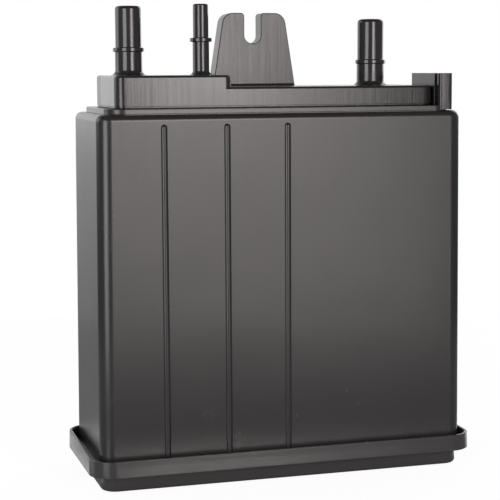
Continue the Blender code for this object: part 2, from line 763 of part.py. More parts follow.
def make_manifold():
    """The two-height dome on its narrower weld foot, what stands on it, and the plenums under its roof."""
    half_depth = MANIFOLD_DEPTH / 2
    inner = half_depth - MANIFOLD_WALL
    skirt = MANIFOLD_FOOT + WELD_GROOVE_HEIGHT
    manifold = block(
        "top_manifold",
        (MANIFOLD_LEFT, -half_depth, skirt),
        (MANIFOLD_STEP, half_depth, MANIFOLD_TALL_TOP),
        corner=MANIFOLD_CORNER,
        right_corner=MANIFOLD_STEP_CORNER,
        crown=MANIFOLD_EDGE,
    )
    low = block(
        "manifold_low",
        (MANIFOLD_STEP - 3 * MANIFOLD_STEP_CORNER, -half_depth, skirt),
        (MANIFOLD_RIGHT, half_depth, MANIFOLD_LOW_TOP),
        corner=0.0,
        right_corner=MANIFOLD_END_CORNER,
        crown=MANIFOLD_EDGE,
    )
    weld_foot = block(
        "weld_foot",
        (MANIFOLD_LEFT + WELD_GROOVE_END, -half_depth + WELD_GROOVE_DEPTH, MANIFOLD_FOOT),
        (MANIFOLD_RIGHT - WELD_GROOVE_END, half_depth - WELD_GROOVE_DEPTH, skirt + SINK),
        corner=MANIFOLD_CORNER,
        right_corner=MANIFOLD_END_CORNER,
    )
    spigots, bores = spigot_tools()
    join(manifold, low, weld_foot, *spigots, make_mounting_plate(), plate_foot_fillet(), plate_heel())

    below = MANIFOLD_FOOT - SINK
    tall_roof = MANIFOLD_TALL_TOP - MANIFOLD_WALL
    low_roof = MANIFOLD_LOW_TOP - MANIFOLD_WALL
    half_wall = PARTITION_WALL / 2
    tall_plenums = block_set(
        "tall_plenums",
        [
            (
                (MANIFOLD_LEFT + MANIFOLD_WALL, -inner, below),
                (BAFFLE_PLACE - half_wall, inner, tall_roof),
            ),
            (
                (BAFFLE_PLACE + half_wall, -inner, below),
                (MANIFOLD_STEP - MANIFOLD_WALL, inner, tall_roof),
            ),
        ],
    )
    low_plenums = block_set(
        "low_plenums",
        [
            (
                (MANIFOLD_STEP - 2 * MANIFOLD_WALL, -inner + GAP, below - GAP),
                (PARTITION_PLACE - half_wall, inner - GAP, low_roof),
            ),
            (
                (PARTITION_PLACE + half_wall, -inner, below - GAP),
                (MANIFOLD_RIGHT - MANIFOLD_WALL, inner, low_roof),
            ),
        ],
    )
    cut(manifold, tall_plenums, low_plenums, *bores)
    as_part(manifold, "top_manifold")


def spring_places():
    """Where the springs stand: four under the main plate and two under the vent plate."""
    half_width = housing_half(PLATE_UNDERSIDE, HOUSING_WALL)[0]
    main = (-half_width + PARTITION_PLACE) / 2
    vent = (half_width + PARTITION_PLACE) / 2
    wide, deep = MAIN_SPRING_SPACING
    places = [
        (f"main_spring_{number}", (main + x * wide / 2, y * deep / 2))
        for number, (x, y) in enumerate(((-1, -1), (1, -1), (-1, 1), (1, 1)), 1)
    ]
    for number, side in enumerate((-1, 1), 1):
        places.append((f"vent_spring_{number}", (vent + side * VENT_SPRING_SPACING / 2, 0.0)))
    return places


def spring_bosses(name, bottom, top, keep):
    """Locating bosses, one in the end of each spring that is kept."""
    radius = SPRING_RADIUS - SPRING_WIRE / 2 - BOSS_CLEARANCE
    bm = bmesh.new()
    for spring, (x, y) in spring_places():
        if spring.startswith(keep):
            middle = Matrix.Translation((x, y, (bottom + top) / 2))
            bmesh.ops.create_cone(
                bm,
                cap_ends=True,
                segments=16,
                radius1=radius,
                radius2=radius,
                depth=top - bottom,
                matrix=middle,
            )
    return mesh_object(name, bm)


def make_cover():
    """Tray and rim in one, hollowed from above for the plenum and from below between the stiffeners."""
    tray_half = housing_half(HOUSING_FOOT, TRAY_INSET)
    tray = block(
        "bottom_cover",
        (-tray_half[0], -tray_half[1], 0.0),
        (tray_half[0], tray_half[1], CHANNEL_FLOOR),
        corner=TRAY_CORNER,
        foot=TRAY_FOOT_ROUNDING,
    )
    rim_half = housing_half(HOUSING_FOOT, -RIM_OVERHANG)
    rim = block(
        "rim",
        (-rim_half[0], -rim_half[1], RIM_BOTTOM),
        (rim_half[0], rim_half[1], RIM_TOP),
        corner=HOUSING_CORNER + RIM_OVERHANG,
    )
    join(tray, rim)

    channel = block(
        "rim_hollow",
        (-rim_half[0] + RIM_WALL, -rim_half[1] + RIM_WALL, CHANNEL_FLOOR),
        (rim_half[0] - RIM_WALL, rim_half[1] - RIM_WALL, RIM_TOP + SINK),
        corner=HOUSING_CORNER + RIM_OVERHANG - RIM_WALL,
    )
    well_half = (tray_half[0] - TRAY_WALL, tray_half[1] - TRAY_WALL)
    well = block(
        "tray_well",
        (-well_half[0], -well_half[1], TRAY_FLOOR),
        (well_half[0], well_half[1], CHANNEL_FLOOR + SINK),
        corner=TRAY_CORNER - TRAY_WALL,
    )
    under_half = (tray_half[0] - FOOT_BAND, tray_half[1] - FOOT_BAND)
    underside = block(
        "underside",
        (-under_half[0], -under_half[1], -SINK),
        (under_half[0], under_half[1], FLOOR_RAISED),
        corner=TRAY_CORNER - FOOT_BAND / 2,
    )
    cut(tray, channel, well, underside)

    half_wall = STIFFENER_WALL / 2
    low = STIFFENER_WALL / 8
    high = FLOOR_RAISED + FLOOR_THICKNESS / 3
    across_pitch = 2 * under_half[0] / (STIFFENERS_ACROSS + 1)
    across = []
    for number in range(1, STIFFENERS_ACROSS + 1):
        x = -under_half[0] + number * across_pitch
        reach = under_half[1] + FOOT_BAND / 3
        across.append(((x - half_wall, -reach, low), (x + half_wall, reach, high)))
    along_pitch = 2 * under_half[1] / (STIFFENERS_ALONG + 1)
    along = []
    for number in range(1, STIFFENERS_ALONG + 1):
        y = -under_half[1] + number * along_pitch
        reach = under_half[0] + FOOT_BAND / 3
        along.append(((-reach, y - half_wall, 2 * low), (reach, y + half_wall, high - low)))
    join(
        tray,
        block_set("stiffeners_across", across),
        block_set("stiffeners_along", along),
        spring_bosses("cover_bosses", TRAY_FLOOR - SINK, TRAY_FLOOR + BOSS_HEIGHT, ("main", "vent")),
    )
    as_part(tray, "bottom_cover")


def chamber_block(name, side, bottom, top, clearance):
    """A block that fills one chamber between two levels: everything left or right of the partition."""
    lower = housing_half(bottom, HOUSING_WALL + clearance)
    upper = housing_half(top, HOUSING_WALL + clearance)
    face = PARTITION_PLACE + side * (PARTITION_WALL / 2 + clearance)
    corner = max(HOUSING_CORNER - HOUSING_WALL - clearance, HOUSING_WALL)
    if side < 0:
        low = (-lower[0], -lower[1], bottom)
        high = (face, lower[1], top)
        narrow = ((-upper[0], -upper[1]), (face, upper[1]))
        return block(name, low, high, top=narrow, corner=corner, right_corner=clearance)
    low = (face, -lower[1], bottom)
    high = (lower[0], lower[1], top)
    narrow = ((face, -upper[1]), (upper[0], upper[1]))
    return block(name, low, high, top=narrow, corner=clearance, right_corner=corner)


def baffle_slot(name, clearance):
    """The room that the short baffle takes from the main bed."""
    half = PARTITION_WALL / 2 + clearance
    reach = HOUSING_DEPTH
    return block(
        name,
        (BAFFLE_PLACE - half, -reach, DECK_UNDERSIDE - BAFFLE_DEPTH - clearance),
        (BAFFLE_PLACE + half, reach, DECK_UNDERSIDE + SINK),
    )


def make_beds():
    main = chamber_block("main_carbon_bed", -1, BED_BASE, BED_TOP, GAP)
    cut(main, baffle_slot("bed_slot", GAP))
    as_part(main, "carbon")
    middle = VENT_MIDDLE_HEIGHT
    lower = chamber_block("vent_carbon_bed_lower", 1, BED_BASE, middle - GAP, GAP)
    as_part(lower, "carbon")
    upper = chamber_block("vent_carbon_bed_upper", 1, middle + VENT_MIDDLE_PAD + GAP, BED_TOP, GAP)
    as_part(upper, "carbon")


def upper_pad(name, left, right):
    """A fleece pad under the deck. Its corners stay clear of the rounded crown inside the housing."""
    top = UPPER_PAD_BASE + UPPER_PAD
    shrink = CROWN_ROUNDING - HOUSING_WALL
    half_depth = housing_half(top, HOUSING_WALL + GAP + shrink)[1]
    return block(
        name,
        (left, -half_depth, UPPER_PAD_BASE),
        (right, half_depth, top),
        corner=GRID_BAR,
    )


def make_pads():
    end = housing_half(UPPER_PAD_BASE + UPPER_PAD, HOUSING_WALL + GAP + CROWN_ROUNDING - HOUSING_WALL)[0]
    gap = PARTITION_WALL / 2 + GAP
    as_part(upper_pad("tank_pad", -end, BAFFLE_PLACE - gap), "fleece")
    as_part(upper_pad("purge_pad", BAFFLE_PLACE + gap, PARTITION_PLACE - gap), "fleece")
    as_part(upper_pad("vent_pad", PARTITION_PLACE + gap, end), "fleece")
    base = LOWER_PAD_BASE
    as_part(chamber_block("main_lower_pad", -1, base, base + LOWER_PAD, GAP), "fleece")
    as_part(chamber_block("vent_lower_pad", 1, base, base + LOWER_PAD, GAP), "fleece")
    middle = VENT_MIDDLE_HEIGHT
    as_part(chamber_block("vent_middle_pad", 1, middle, middle + VENT_MIDDLE_PAD, GAP), "fleece")


def plate_holes(name, left, right):
    """Rows of oblong holes between two ends of a pressure plate."""
    half_depth = housing_half(PLATE_UNDERSIDE, HOUSING_WALL + PLATE_CLEARANCE + PLATE_MARGIN)[1]
    rows = max(1, int((2 * half_depth + PLATE_HOLE_PITCH[1] - PLATE_HOLE[1]) / PLATE_HOLE_PITCH[1]))
    columns = max(1, int((right - left - 2 * PLATE_MARGIN) / PLATE_HOLE_PITCH[0]))
    middle = (left + right) / 2
    holes = []
    for column in range(columns):
        x = middle + (column - (columns - 1) / 2) * PLATE_HOLE_PITCH[0]
        for row in range(rows):
            y = (row - (rows - 1) / 2) * PLATE_HOLE_PITCH[1]
            low = (x - PLATE_HOLE[0] / 2, y - PLATE_HOLE[1] / 2, PLATE_UNDERSIDE - BOSS_HEIGHT - SINK)
            high = (x + PLATE_HOLE[0] / 2, y + PLATE_HOLE[1] / 2, PLATE_TOPSIDE + SINK)
            holes.append((low, high))
    return block_set(name, holes)


def make_pressure_plates():
    half_width = housing_half(PLATE_UNDERSIDE, HOUSING_WALL + PLATE_CLEARANCE)[0]
    edge = PARTITION_WALL / 2 + PLATE_CLEARANCE
    ends = {
        "main": (-1, -half_width, PARTITION_PLACE - edge),
        "vent": (1, PARTITION_PLACE + edge, half_width),
    }
    for name, (side, left, right) in ends.items():
        plate = chamber_block(
            name + "_pressure_plate", side, PLATE_UNDERSIDE, PLATE_TOPSIDE, PLATE_CLEARANCE
        )
        cut(plate, plate_holes(name + "_plate_holes", left, right))
        bosses = spring_bosses(
            name + "_plate_bosses", PLATE_UNDERSIDE - BOSS_HEIGHT, PLATE_UNDERSIDE + SINK, (name,)
        )
        join(plate, bosses)
        as_part(plate, "pressure_plate")


def spring_height(turn, bottom, top):
    """Height of the wire's middle after a number of turns: close end turns, open ones between."""
    open_turns = SPRING_TURNS - 2
    rise = top - bottom
    open_pitch = (rise - 2 * SPRING_END_PITCH) / open_turns
    if turn <= 1:
        return bottom + SPRING_END_PITCH * turn
    if turn >= SPRING_TURNS - 1:
        return top - SPRING_END_PITCH * (SPRING_TURNS - turn)
    return bottom + SPRING_END_PITCH + open_pitch * (turn - 1)


def make_spring(name, place):
    bottom = TRAY_FLOOR + GAP + SPRING_WIRE / 2
    top = PLATE_UNDERSIDE - GAP - SPRING_WIRE / 2
    curve = bpy.data.curves.new(name, "CURVE")
    curve.dimensions = "3D"
    curve.bevel_depth = SPRING_WIRE / 2
    curve.bevel_resolution = 1
    curve.use_fill_caps = True
    spline = curve.splines.new("POLY")
    count = SPRING_TURNS * SPRING_POINTS_A_TURN
    spline.points.add(count)
    for number in range(count + 1):
        turn = number / SPRING_POINTS_A_TURN
        x = SPRING_RADIUS * math.cos(math.tau * turn)
        y = SPRING_RADIUS * math.sin(math.tau * turn)
        spline.points[number].co = (x, y, spring_height(turn, bottom, top), 1.0)
    spring = bpy.data.objects.new(name, curve)
    spring.location = (place[0], place[1], 0.0)
    as_part(spring, "spring")


def main():
    make_housing()
    make_manifold()
    make_cover()
    make_beds()
    make_pads()
    make_pressure_plates()
    for name, place in spring_places():
        make_spring(name, place)


clear_scene()
PARTS = make_collection("charcoal_canister")
TOOLS = make_collection("joins_and_cuts")
MATERIALS = {name: make_material(name) for name in COLOURS}
main()
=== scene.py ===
"""Looks of the charcoal canister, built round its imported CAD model: the moulded housing, bottom cover and top
manifold as finely rounded pieces, finishes for the filling, and a pale stage with soft light."""

import math
from collections import namedtuple

import bmesh
import bpy
from mathutils import Matrix, Vector


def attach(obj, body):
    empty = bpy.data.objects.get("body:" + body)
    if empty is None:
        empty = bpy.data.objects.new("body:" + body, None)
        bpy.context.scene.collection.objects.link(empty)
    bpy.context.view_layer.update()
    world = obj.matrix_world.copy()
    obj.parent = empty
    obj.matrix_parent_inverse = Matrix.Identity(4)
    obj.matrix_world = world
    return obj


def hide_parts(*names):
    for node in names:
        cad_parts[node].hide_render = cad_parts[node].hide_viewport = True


bl_info = {
    "name": "Charcoal Canister",
    "version": (1, 0, 0),
    "blender": (4, 5, 0),
    "location": "View3D > Sidebar > Canister",
    "description": "Builds the looks of a fuel-vapour canister round its CAD model",
    "category": "Add Mesh",
}

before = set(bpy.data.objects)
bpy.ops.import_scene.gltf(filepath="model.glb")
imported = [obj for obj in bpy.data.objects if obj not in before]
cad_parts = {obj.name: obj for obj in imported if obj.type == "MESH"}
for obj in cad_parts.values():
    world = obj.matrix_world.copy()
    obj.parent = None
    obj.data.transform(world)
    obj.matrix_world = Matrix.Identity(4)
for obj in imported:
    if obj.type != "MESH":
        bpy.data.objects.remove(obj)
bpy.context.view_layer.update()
BODY = "root"
MM = 0.001

# Housing, beads and plinth.
FOOT_LEVEL = 13.3 * MM
CROWN_LEVEL = 231.1 * MM
DRAFT_SIDES = math.radians(0.414)
DRAFT_FACES = math.radians(0.08)
WALL = 2.5 * MM
FLANGE_REACH = 3.0 * MM
FLANGE_TOP = 16.3 * MM
PLINTH_END_INSET = 6.0 * MM
PLINTH_HALF_WIDTH = 111.92 * MM
PLINTH_FACE_INSET = 2.9 * MM
PLINTH_TOP = 234.4 * MM
PLINTH_CORNER = 11.9 * MM
BEAD_PLACES = (-77.8 * MM, -38.3 * MM, 0.4 * MM)
BEAD_RADIUS = 2.15 * MM
BEAD_TOP = 225.1 * MM
PARTITION = 40.2 * MM
BAFFLE = -67.0 * MM
INNER_WALL = 2.4 * MM
BAFFLE_DEPTH = 34.0 * MM
PARTITION_FOOT = 25.0 * MM
SEAT_STRIP = 3.2 * MM
GRID_BAR = 2.0 * MM
GRID_PITCH = 15.0 * MM

# Rail at the right-hand end of the crown.
RAIL_LEFT, RAIL_RIGHT = 103.1 * MM, 112.2 * MM
RAIL_FRONT = -39.7 * MM
RAIL_POST_BACK = -35.4 * MM
RAIL_WALL_FRONT, RAIL_WALL_BACK = -31.1 * MM, 6.6 * MM
RAIL_WALL = 2.8 * MM
RAIL_EDGE = 2.3 * MM
RAIL_FOOT, RAIL_TOP = 231.6 * MM, 254.6 * MM

# Bottom cover.
COVER_WIDTH, COVER_DEPTH = 252.0 * MM, 98.8 * MM
RIM_BOTTOM = 10.5 * MM
RIM_TOP = 20.8 * MM
RIM_OVERHANG = 6.5 * MM
RIM_WALL = 2.0 * MM
RIM_RISE = 1.1 * MM
TRAY_INSET = 1.1 * MM
TRAY_CORNER = 9.6 * MM
CHANNEL_FLOOR = 13.0 * MM
TRAY_FLOOR = 6.5 * MM
POCKET_DEPTH = 4.0 * MM
FOOT_BAND = 5.0 * MM
STIFFENER = 2.0 * MM
POCKETS = (8, 3)
BOSS_RADIUS, BOSS_HEIGHT, BOSS_CHAMFER = 7.55 * MM, 3.0 * MM, 0.6 * MM
MAIN_SPRINGS_ALONG, MAIN_SPRINGS_ACROSS = 43.0 * MM, 17.0 * MM
VENT_SPRINGS_ALONG = 18.0 * MM

# Top manifold, plate and spigots.
DOME_LEFT, DOME_RIGHT, DOME_STEP = -105.0 * MM, 102.6 * MM, -31.8 * MM
DOME_DEPTH = 65.2 * MM
DOME_FOOT = 234.7 * MM
DOME_TALL, DOME_LOW = 254.2 * MM, 246.9 * MM
DOME_CORNER = 5.7 * MM
STEP_CORNER = 5.0 * MM
END_CORNER = 7.5 * MM
DOME_EDGE = 1.7 * MM
WELD_HEIGHT = 0.7 * MM
WELD_DEPTH = 0.7 * MM
WELD_END = 0.15 * MM
PLATE_MIDDLE = -2.6 * MM
PLATE_FOOT_WIDTH, PLATE_TOP_WIDTH = 55.6 * MM, 40.9 * MM
PLATE_TOP = 293.9 * MM
PLATE_FRONT, PLATE_BACK = 18.4 * MM, 31.0 * MM
PLATE_WEB = 3.0 * MM
PLATE_RIM = 2.6 * MM
PLATE_CORNER = 7.4 * MM
PLATE_EDGE = 0.6 * MM
NOTCH_WIDTH = 11.2 * MM
NOTCH_ASIDE = -1.0 * MM
NOTCH_BOTTOM = 274.4 * MM
NOTCH_MOUTH = 2.2 * MM
BEAD_THICKNESS = 2.35 * MM
STEM_THICKER = 0.35 * MM

# The three spigots. A bead's drop is measured from the tip, and the rounding is that of the tip.
Spigot = namedtuple("Spigot", "name place tip radius rounding bead_radius bead_drop fillet bore")
SPIGOTS = (
    Spigot("tank", -90.0 * MM, 297.0 * MM, 8.13 * MM, 2.1 * MM, 9.68 * MM, 26.9 * MM, 3.5 * MM, 5.5 * MM),
    Spigot("purge", -43.4 * MM, 298.6 * MM, 4.87 * MM, 1.0 * MM, 6.88 * MM, 22.4 * MM, 2.8 * MM, 3.0 * MM),
    Spigot("vent", 71.0 * MM, 289.6 * MM, 8.55 * MM, 2.3 * MM, 9.84 * MM, 27.4 * MM, 3.3 * MM, 5.7 * MM),
)

# Fineness of the meshes, the angle past which an edge stays sharp and how far one solid sinks into another.
ARC_STEPS = 10
TURN_STEPS = 64
SHARP_ANGLE = math.radians(32.0)
SINK = 1.0 * MM

FILLING = {
    "carbon": ("main_carbon_bed", "vent_carbon_bed_upper", "vent_carbon_bed_lower"),
    "fleece": ("tank_pad", "purge_pad", "vent_pad", "vent_middle_pad", "main_lower_pad", "vent_lower_pad"),
    "plate": ("main_pressure_plate", "vent_pressure_plate"),
    "spring": (*(f"main_spring_{number}" for number in range(1, 5)), "vent_spring_1", "vent_spring_2"),
}

# Where the camera stands and how far it is turned to the right, down and about its own line of sight.
CAMERA_PLACE = (-0.283504, -0.915163, 0.258149)
CAMERA_TURN = (16.543, 6.975, 0.294)
FLOOR_RADIUS = 0.62
WHITE = (1.0, 1.0, 1.0)
WARM_WHITE = (1.0, 0.94, 0.93)


class CanisterSizes(bpy.types.PropertyGroup):
    width: bpy.props.FloatProperty(
        name="Width", description="Width of the housing at its foot", default=0.2390, unit="LENGTH"
    )
    depth: bpy.props.FloatProperty(
        name="Depth", description="Depth of the housing at its foot", default=0.0858, unit="LENGTH"
    )
    corner: bpy.props.FloatProperty(
        name="Corner", description="Radius of the upright corners", default=0.0085, unit="LENGTH"
    )
    crown: bpy.props.FloatProperty(
        name="Crown", description="Rounding round the top of the housing", default=0.0043, unit="LENGTH"
    )


class CanisterFinish(bpy.types.PropertyGroup):
    plastic: bpy.props.FloatVectorProperty(
        name="Plastic",
        description="Colour of the moulded plastic",
        subtype="COLOR",
        default=(0.018, 0.0165, 0.0168),
        min=0.0,
        max=1.0,
    )
    roughness: bpy.props.FloatProperty(
        name="Roughness",
        description="How dull the moulded plastic is",
        subtype="FACTOR",
        default=0.26,
        min=0.0,
        max=1.0,
    )


class CanisterStage(bpy.types.PropertyGroup):
    key: bpy.props.FloatProperty(
        name="Right softbox", description="Power of the softbox at the right", default=8.2, unit="POWER"
    )
    fill: bpy.props.FloatProperty(
        name="Left softbox", description="Power of the softbox at the left", default=12.0, unit="POWER"
    )
    lens: bpy.props.FloatProperty(
        name="Focal length", description="Focal length of the camera", default=106.859, unit="CAMERA"
    )


class Reading:
    """What a node gives. Python's operators on a number add Math nodes."""

    def __init__(self, nodes, socket):
        self.nodes = nodes
        self.socket = socket

    def maths(self, operation, first, second):
        return self.nodes.node("ShaderNodeMath", {"operation": operation}, {0: first, 1: second})

    def __add__(self, other):
        return self.maths("ADD", self, other)

    def __sub__(self, other):
        return self.maths("SUBTRACT", self, other)

    def __rsub__(self, other):
        return self.maths("SUBTRACT", other, self)

    def __mul__(self, other):
        return self.maths("MULTIPLY", self, other)

    def at_least(self, other):
        return self.maths("MAXIMUM", self, other)

    __radd__ = __add__
    __rmul__ = __mul__


class Nodes:
    """A tree of nodes of any kind."""

    def __init__(self, tree):
        self.tree = tree

    def feed(self, socket, value):
        if isinstance(value, Reading):
            self.tree.links.new(value.socket, socket)
        elif socket.type == "RGBA" and len(value) == 3:
            socket.default_value = (*value, 1.0)
        else:
            socket.default_value = value

    def node(self, kind, settings=None, sockets=None, output=0):
        made = self.tree.nodes.new(kind)
        for name, value in (settings or {}).items():
            setattr(made, name, value)
        for name, value in (sockets or {}).items():
            self.feed(made.inputs[name], value)
        return Reading(self, made.outputs[output])


class Recipe(Nodes):
    """The nodes of one material or of the world, whose patterns follow one output of Texture Coordinate."""

    def __init__(self, owner, places="Object"):
        owner.use_nodes = True
        super().__init__(owner.node_tree)
        self.owner = owner
        self.places = self.node("ShaderNodeTexCoord", output=places)

    def noise(self, scale, detail=3.0, roughness=0.5, stretch=None):
        places = self.places
        if stretch:
            places = self.node("ShaderNodeMapping", None, {"Vector": places, "Scale": stretch})
        sockets = {"Vector": places, "Scale": scale, "Detail": detail, "Roughness": roughness}
        return self.node("ShaderNodeTexNoise", None, sockets)

    def cells(self, scale, output="Distance"):
        return self.node("ShaderNodeTexVoronoi", None, {"Vector": self.places, "Scale": scale}, output)

    def ramp(self, value, low, high, start=0.0, end=1.0):
        """The start below low, the end above high and smooth between."""
        settings = {"interpolation_type": "SMOOTHSTEP"}
        sockets = {"Value": value, "From Min": low, "From Max": high, "To Min": start, "To Max": end}
        return self.node("ShaderNodeMapRange", settings, sockets)

    def blend(self, factor, first, second):
        """Two colours mixed. A Mix node has its colours in sockets 6 and 7, and gives a colour in socket 2."""
        return self.node("ShaderNodeMix", {"data_type": "RGBA"}, {0: factor, 6: first, 7: second}, 2)

    def axis(self, name, vector=None):
        """One coordinate of the place, or of another vector."""
        return self.node("ShaderNodeSeparateXYZ", None, {"Vector": vector or self.places}, name)

    def light_path(self, output):
        return self.node("ShaderNodeLightPath", output=output)

    def bump(self, height, distance, normal=None):
        sockets = {"Height": height, "Distance": distance}
        if normal:
            sockets["Normal"] = normal
        return self.node("ShaderNodeBump", None, sockets)

    def finish(self, **sockets):
        """Feeds the main shader, or another node that is named, and gives the material."""
        node = self.tree.nodes[sockets.pop("node", "Principled BSDF")]
        for name, value in sockets.items():
            self.feed(node.inputs[name.replace("_", " ")], value)
        return self.owner


def new_recipe(name):
    return Recipe(bpy.data.materials.new(name))


def moulded_plastic(
    name, colour, roughness, drag=(1.0, 1.0, 0.04), streaks=1.0, bow=0.0, lean=0.0, dust=1.0, gloss=None
):
    """Black glass-filled plastic: fine texture from the mould, drag marks, slow flow shades, rubs and dust. The
    drag marks run along the axis that is drawn out. A bow makes long walls catch the light unevenly, and a lean as
    if they were drafted. A gloss is a level, how much smoother the moulding is above it, how far back it is so, and
    how much duller it is behind that."""
    recipe = new_recipe(name)
    flow = recipe.noise(14.0, 4.0, 0.55)
    warp = recipe.noise(9.0, 2.0, 0.4)
    texture = recipe.noise(2600.0, 2.0, 0.6)
    marks = recipe.noise(420.0, 4.0, 0.65, stretch=drag)
    rub_field = recipe.noise(38.0, 5.0, 0.62)
    rubs = recipe.ramp(rub_field, 0.60, 0.78)
    fine = recipe.noise(900.0, 3.0, 0.7, stretch=(1.0, 1.0, 0.08))
    scratches = recipe.ramp(fine, 0.70, 0.78) * recipe.ramp(recipe.noise(21.0, 2.0), 0.56, 0.70)
    specks = 1.0 - recipe.ramp(recipe.cells(420.0), 0.04, 0.12)
    sparse = recipe.ramp(recipe.noise(60.0, 3.0, 0.6), 0.62, 0.74)
    upward = recipe.axis("Z", recipe.node("ShaderNodeNewGeometry", output="Normal"))
    settled = recipe.ramp(upward, 0.55, 0.98) * recipe.ramp(recipe.noise(90.0, 5.0, 0.7), 0.35, 0.8)
    light = tuple(channel * 1.25 + 0.001 for channel in colour)
    worn = tuple(channel + 0.018 for channel in colour)
    grey = (0.15, 0.145, 0.135)
    shade = recipe.blend(flow, colour, light)
    shade = recipe.blend(rubs * 0.16, shade, worn)
    shade = recipe.blend(scratches * 0.35, shade, worn)
    shade = recipe.blend(specks * sparse * 0.30 * dust, shade, grey)
    shade = recipe.blend(settled * 0.10 * dust, shade, grey)
    dull = roughness - 0.06 + flow * 0.05 + marks * (0.06 * streaks) + rubs * 0.04 + settled * 0.12 + scratches * 0.05
    if gloss:
        level, smoother, reach, duller = gloss
        upper = recipe.ramp(recipe.axis("Z"), level, level + 1.5 * MM)
        behind = recipe.ramp(recipe.axis("Y"), reach, reach + 1.5 * MM)
        dull = dull - upper * (1.0 - behind) * smoother + behind * duller
    surface = recipe.bump(warp, 0.0009)
    if bow:
        along = recipe.axis("X")
        surface = recipe.bump(along * along * -bow - recipe.axis("Z") * lean, 1.0, normal=surface)
    surface = recipe.bump(marks, 0.00003 * streaks, normal=surface)
    surface = recipe.bump(texture, 0.000010, normal=surface)
    return recipe.finish(Base_Color=shade, Roughness=dull, Normal=surface)


def carbon_pellets(name):
    """Packed black pellets, about 2 mm across, with painted shade in the gaps between them."""
    recipe = new_recipe(name)
    pellets = recipe.cells(480.0)
    tone = recipe.cells(480.0, output="Color")
    grain = recipe.noise(4000.0, 3.0, 0.7)
    shade = recipe.blend(grain, (0.008, 0.008, 0.008), (0.030, 0.029, 0.028))
    shade = recipe.blend(0.12, shade, tone)
    # Painted shade: the cell edges, which are the gaps between the pellets, go near black.
    shade = recipe.blend(recipe.ramp(pellets, 0.35, 0.7), shade, (0.002, 0.002, 0.002))
    surface = recipe.bump(1.0 - pellets, 0.0009)
    surface = recipe.bump(grain, 0.00008, normal=surface)
    return recipe.finish(Base_Color=shade, Roughness=0.72 + grain * 0.2, Normal=surface)


def needled_fleece(name):
    """Off-white felted fibres with darker needle marks."""
    recipe = new_recipe(name)
    fibres = recipe.noise(700.0, 6.0, 0.75, stretch=(1.0, 0.25, 1.0))
    crossed = recipe.noise(760.0, 6.0, 0.75, stretch=(0.25, 1.0, 1.0))
    mat = fibres * 0.5 + crossed * 0.5
    clumps = recipe.noise(60.0, 3.0)
    shade = recipe.blend(mat, (0.44, 0.42, 0.37), (0.76, 0.74, 0.69))
    shade = recipe.blend(recipe.ramp(clumps, 0.45, 0.8) * 0.35, shade, (0.36, 0.34, 0.30))
    return recipe.finish(Base_Color=shade, Roughness=0.9 + clumps * 0.08, Normal=recipe.bump(mat, 0.0007))


def drawn_wire(name):
    """Plain spring steel with fine drawing lines and a few dull patches."""
    recipe = new_recipe(name)
    lines = recipe.noise(1500.0, 3.0, 0.6, stretch=(0.3, 0.3, 1.0))
    patches = recipe.ramp(recipe.noise(120.0, 4.0), 0.5, 0.8)
    shade = recipe.blend(lines, (0.40, 0.40, 0.41), (0.55, 0.55, 0.56))
    shade = recipe.blend(patches * 0.4, shade, (0.26, 0.25, 0.24))
    roughness = 0.26 + lines * 0.14 + patches * 0.15
    surface = recipe.bump(lines, 0.00002)
    return recipe.finish(Base_Color=shade, Roughness=roughness, Metallic=1.0, Normal=surface)


def mesh_object(name, bm):
    mesh = bpy.data.meshes.new(name)
    bm.to_mesh(mesh)
    bm.free()
    thing = bpy.data.objects.new(name, mesh)
    bpy.context.scene.collection.objects.link(thing)
    return thing


def baked(thing):
    """Turns an object's modifiers into its plain mesh."""
    bpy.context.view_layer.update()
    evaluated = thing.evaluated_get(bpy.context.evaluated_depsgraph_get())
    mesh = bpy.data.meshes.new_from_object(evaluated)
    thing.modifiers.clear()
    thing.data = mesh
    return thing


def combine(target, tools, operation):
    """Joins tools to a target, cuts them from it, and deletes them."""
    for tool in tools:
        step = target.modifiers.new(tool.name, "BOOLEAN")
        step.solver = "EXACT"
        step.operation = operation
        step.object = tool
    baked(target)
    for tool in tools:
        bpy.data.objects.remove(tool)
    if not target.data.polygons:
        raise RuntimeError(f"{target.name} was lost")
    return target


def moved_sides(corners, inset):
    """An outline's corners after each side moves inwards. A corner is two coordinates and a radius; the outline
    runs anticlockwise, so a hollow corner's radius grows by the inset and a full one's shrinks."""
    count = len(corners)
    lines = []
    for i in range(count):
        start = Vector(corners[i][:2])
        along = (Vector(corners[(i + 1) % count][:2]) - start).normalized()
        lines.append((start + Vector((-along.y, along.x)) * inset, along))
    moved = []
    for i in range(count):
        before, along_before = lines[i - 1]
        here, along = lines[i]
        turn = along_before.cross(along)
        corner = before + along_before * ((here - before).cross(along) / turn)
        radius = corners[i][2] + (inset if turn < 0 else -inset)
        moved.append((corner.x, corner.y, max(radius, 0.05 * MM)))
    return moved


def rounded_outline(corners, steps=ARC_STEPS):
    """The outline's points, with an arc of so many steps at every corner."""
    count = len(corners)
    outline = []
    for i in range(count):
        corner = Vector(corners[i][:2])
        radius = corners[i][2]
        back = (Vector(corners[i - 1][:2]) - corner).normalized()
        ahead = (Vector(corners[(i + 1) % count][:2]) - corner).normalized()
        half = back.angle(ahead) / 2
        centre = corner + (back + ahead).normalized() * (radius / math.sin(half))
        first = corner + back * (radius / math.tan(half)) - centre
        last = corner + ahead * (radius / math.tan(half)) - centre
        sweep = first.angle_signed(last)
        for step in range(steps + 1):
            outline.append(centre + Matrix.Rotation(-sweep * step / steps, 2) @ first)
    return outline


def rectangle(left, right, front, back, radius, right_radius=None):
    """Corners of an upright block's outline, seen from above."""
    other = radius if right_radius is None else right_radius
    return [(left, front, radius), (right, front, other), (right, back, other), (left, back, radius)]


def centred(half_width, half_depth, radius):
    """Corners of a block's outline about the middle of the canister."""
    return rectangle(-half_width, half_width, -half_depth, half_depth, radius)


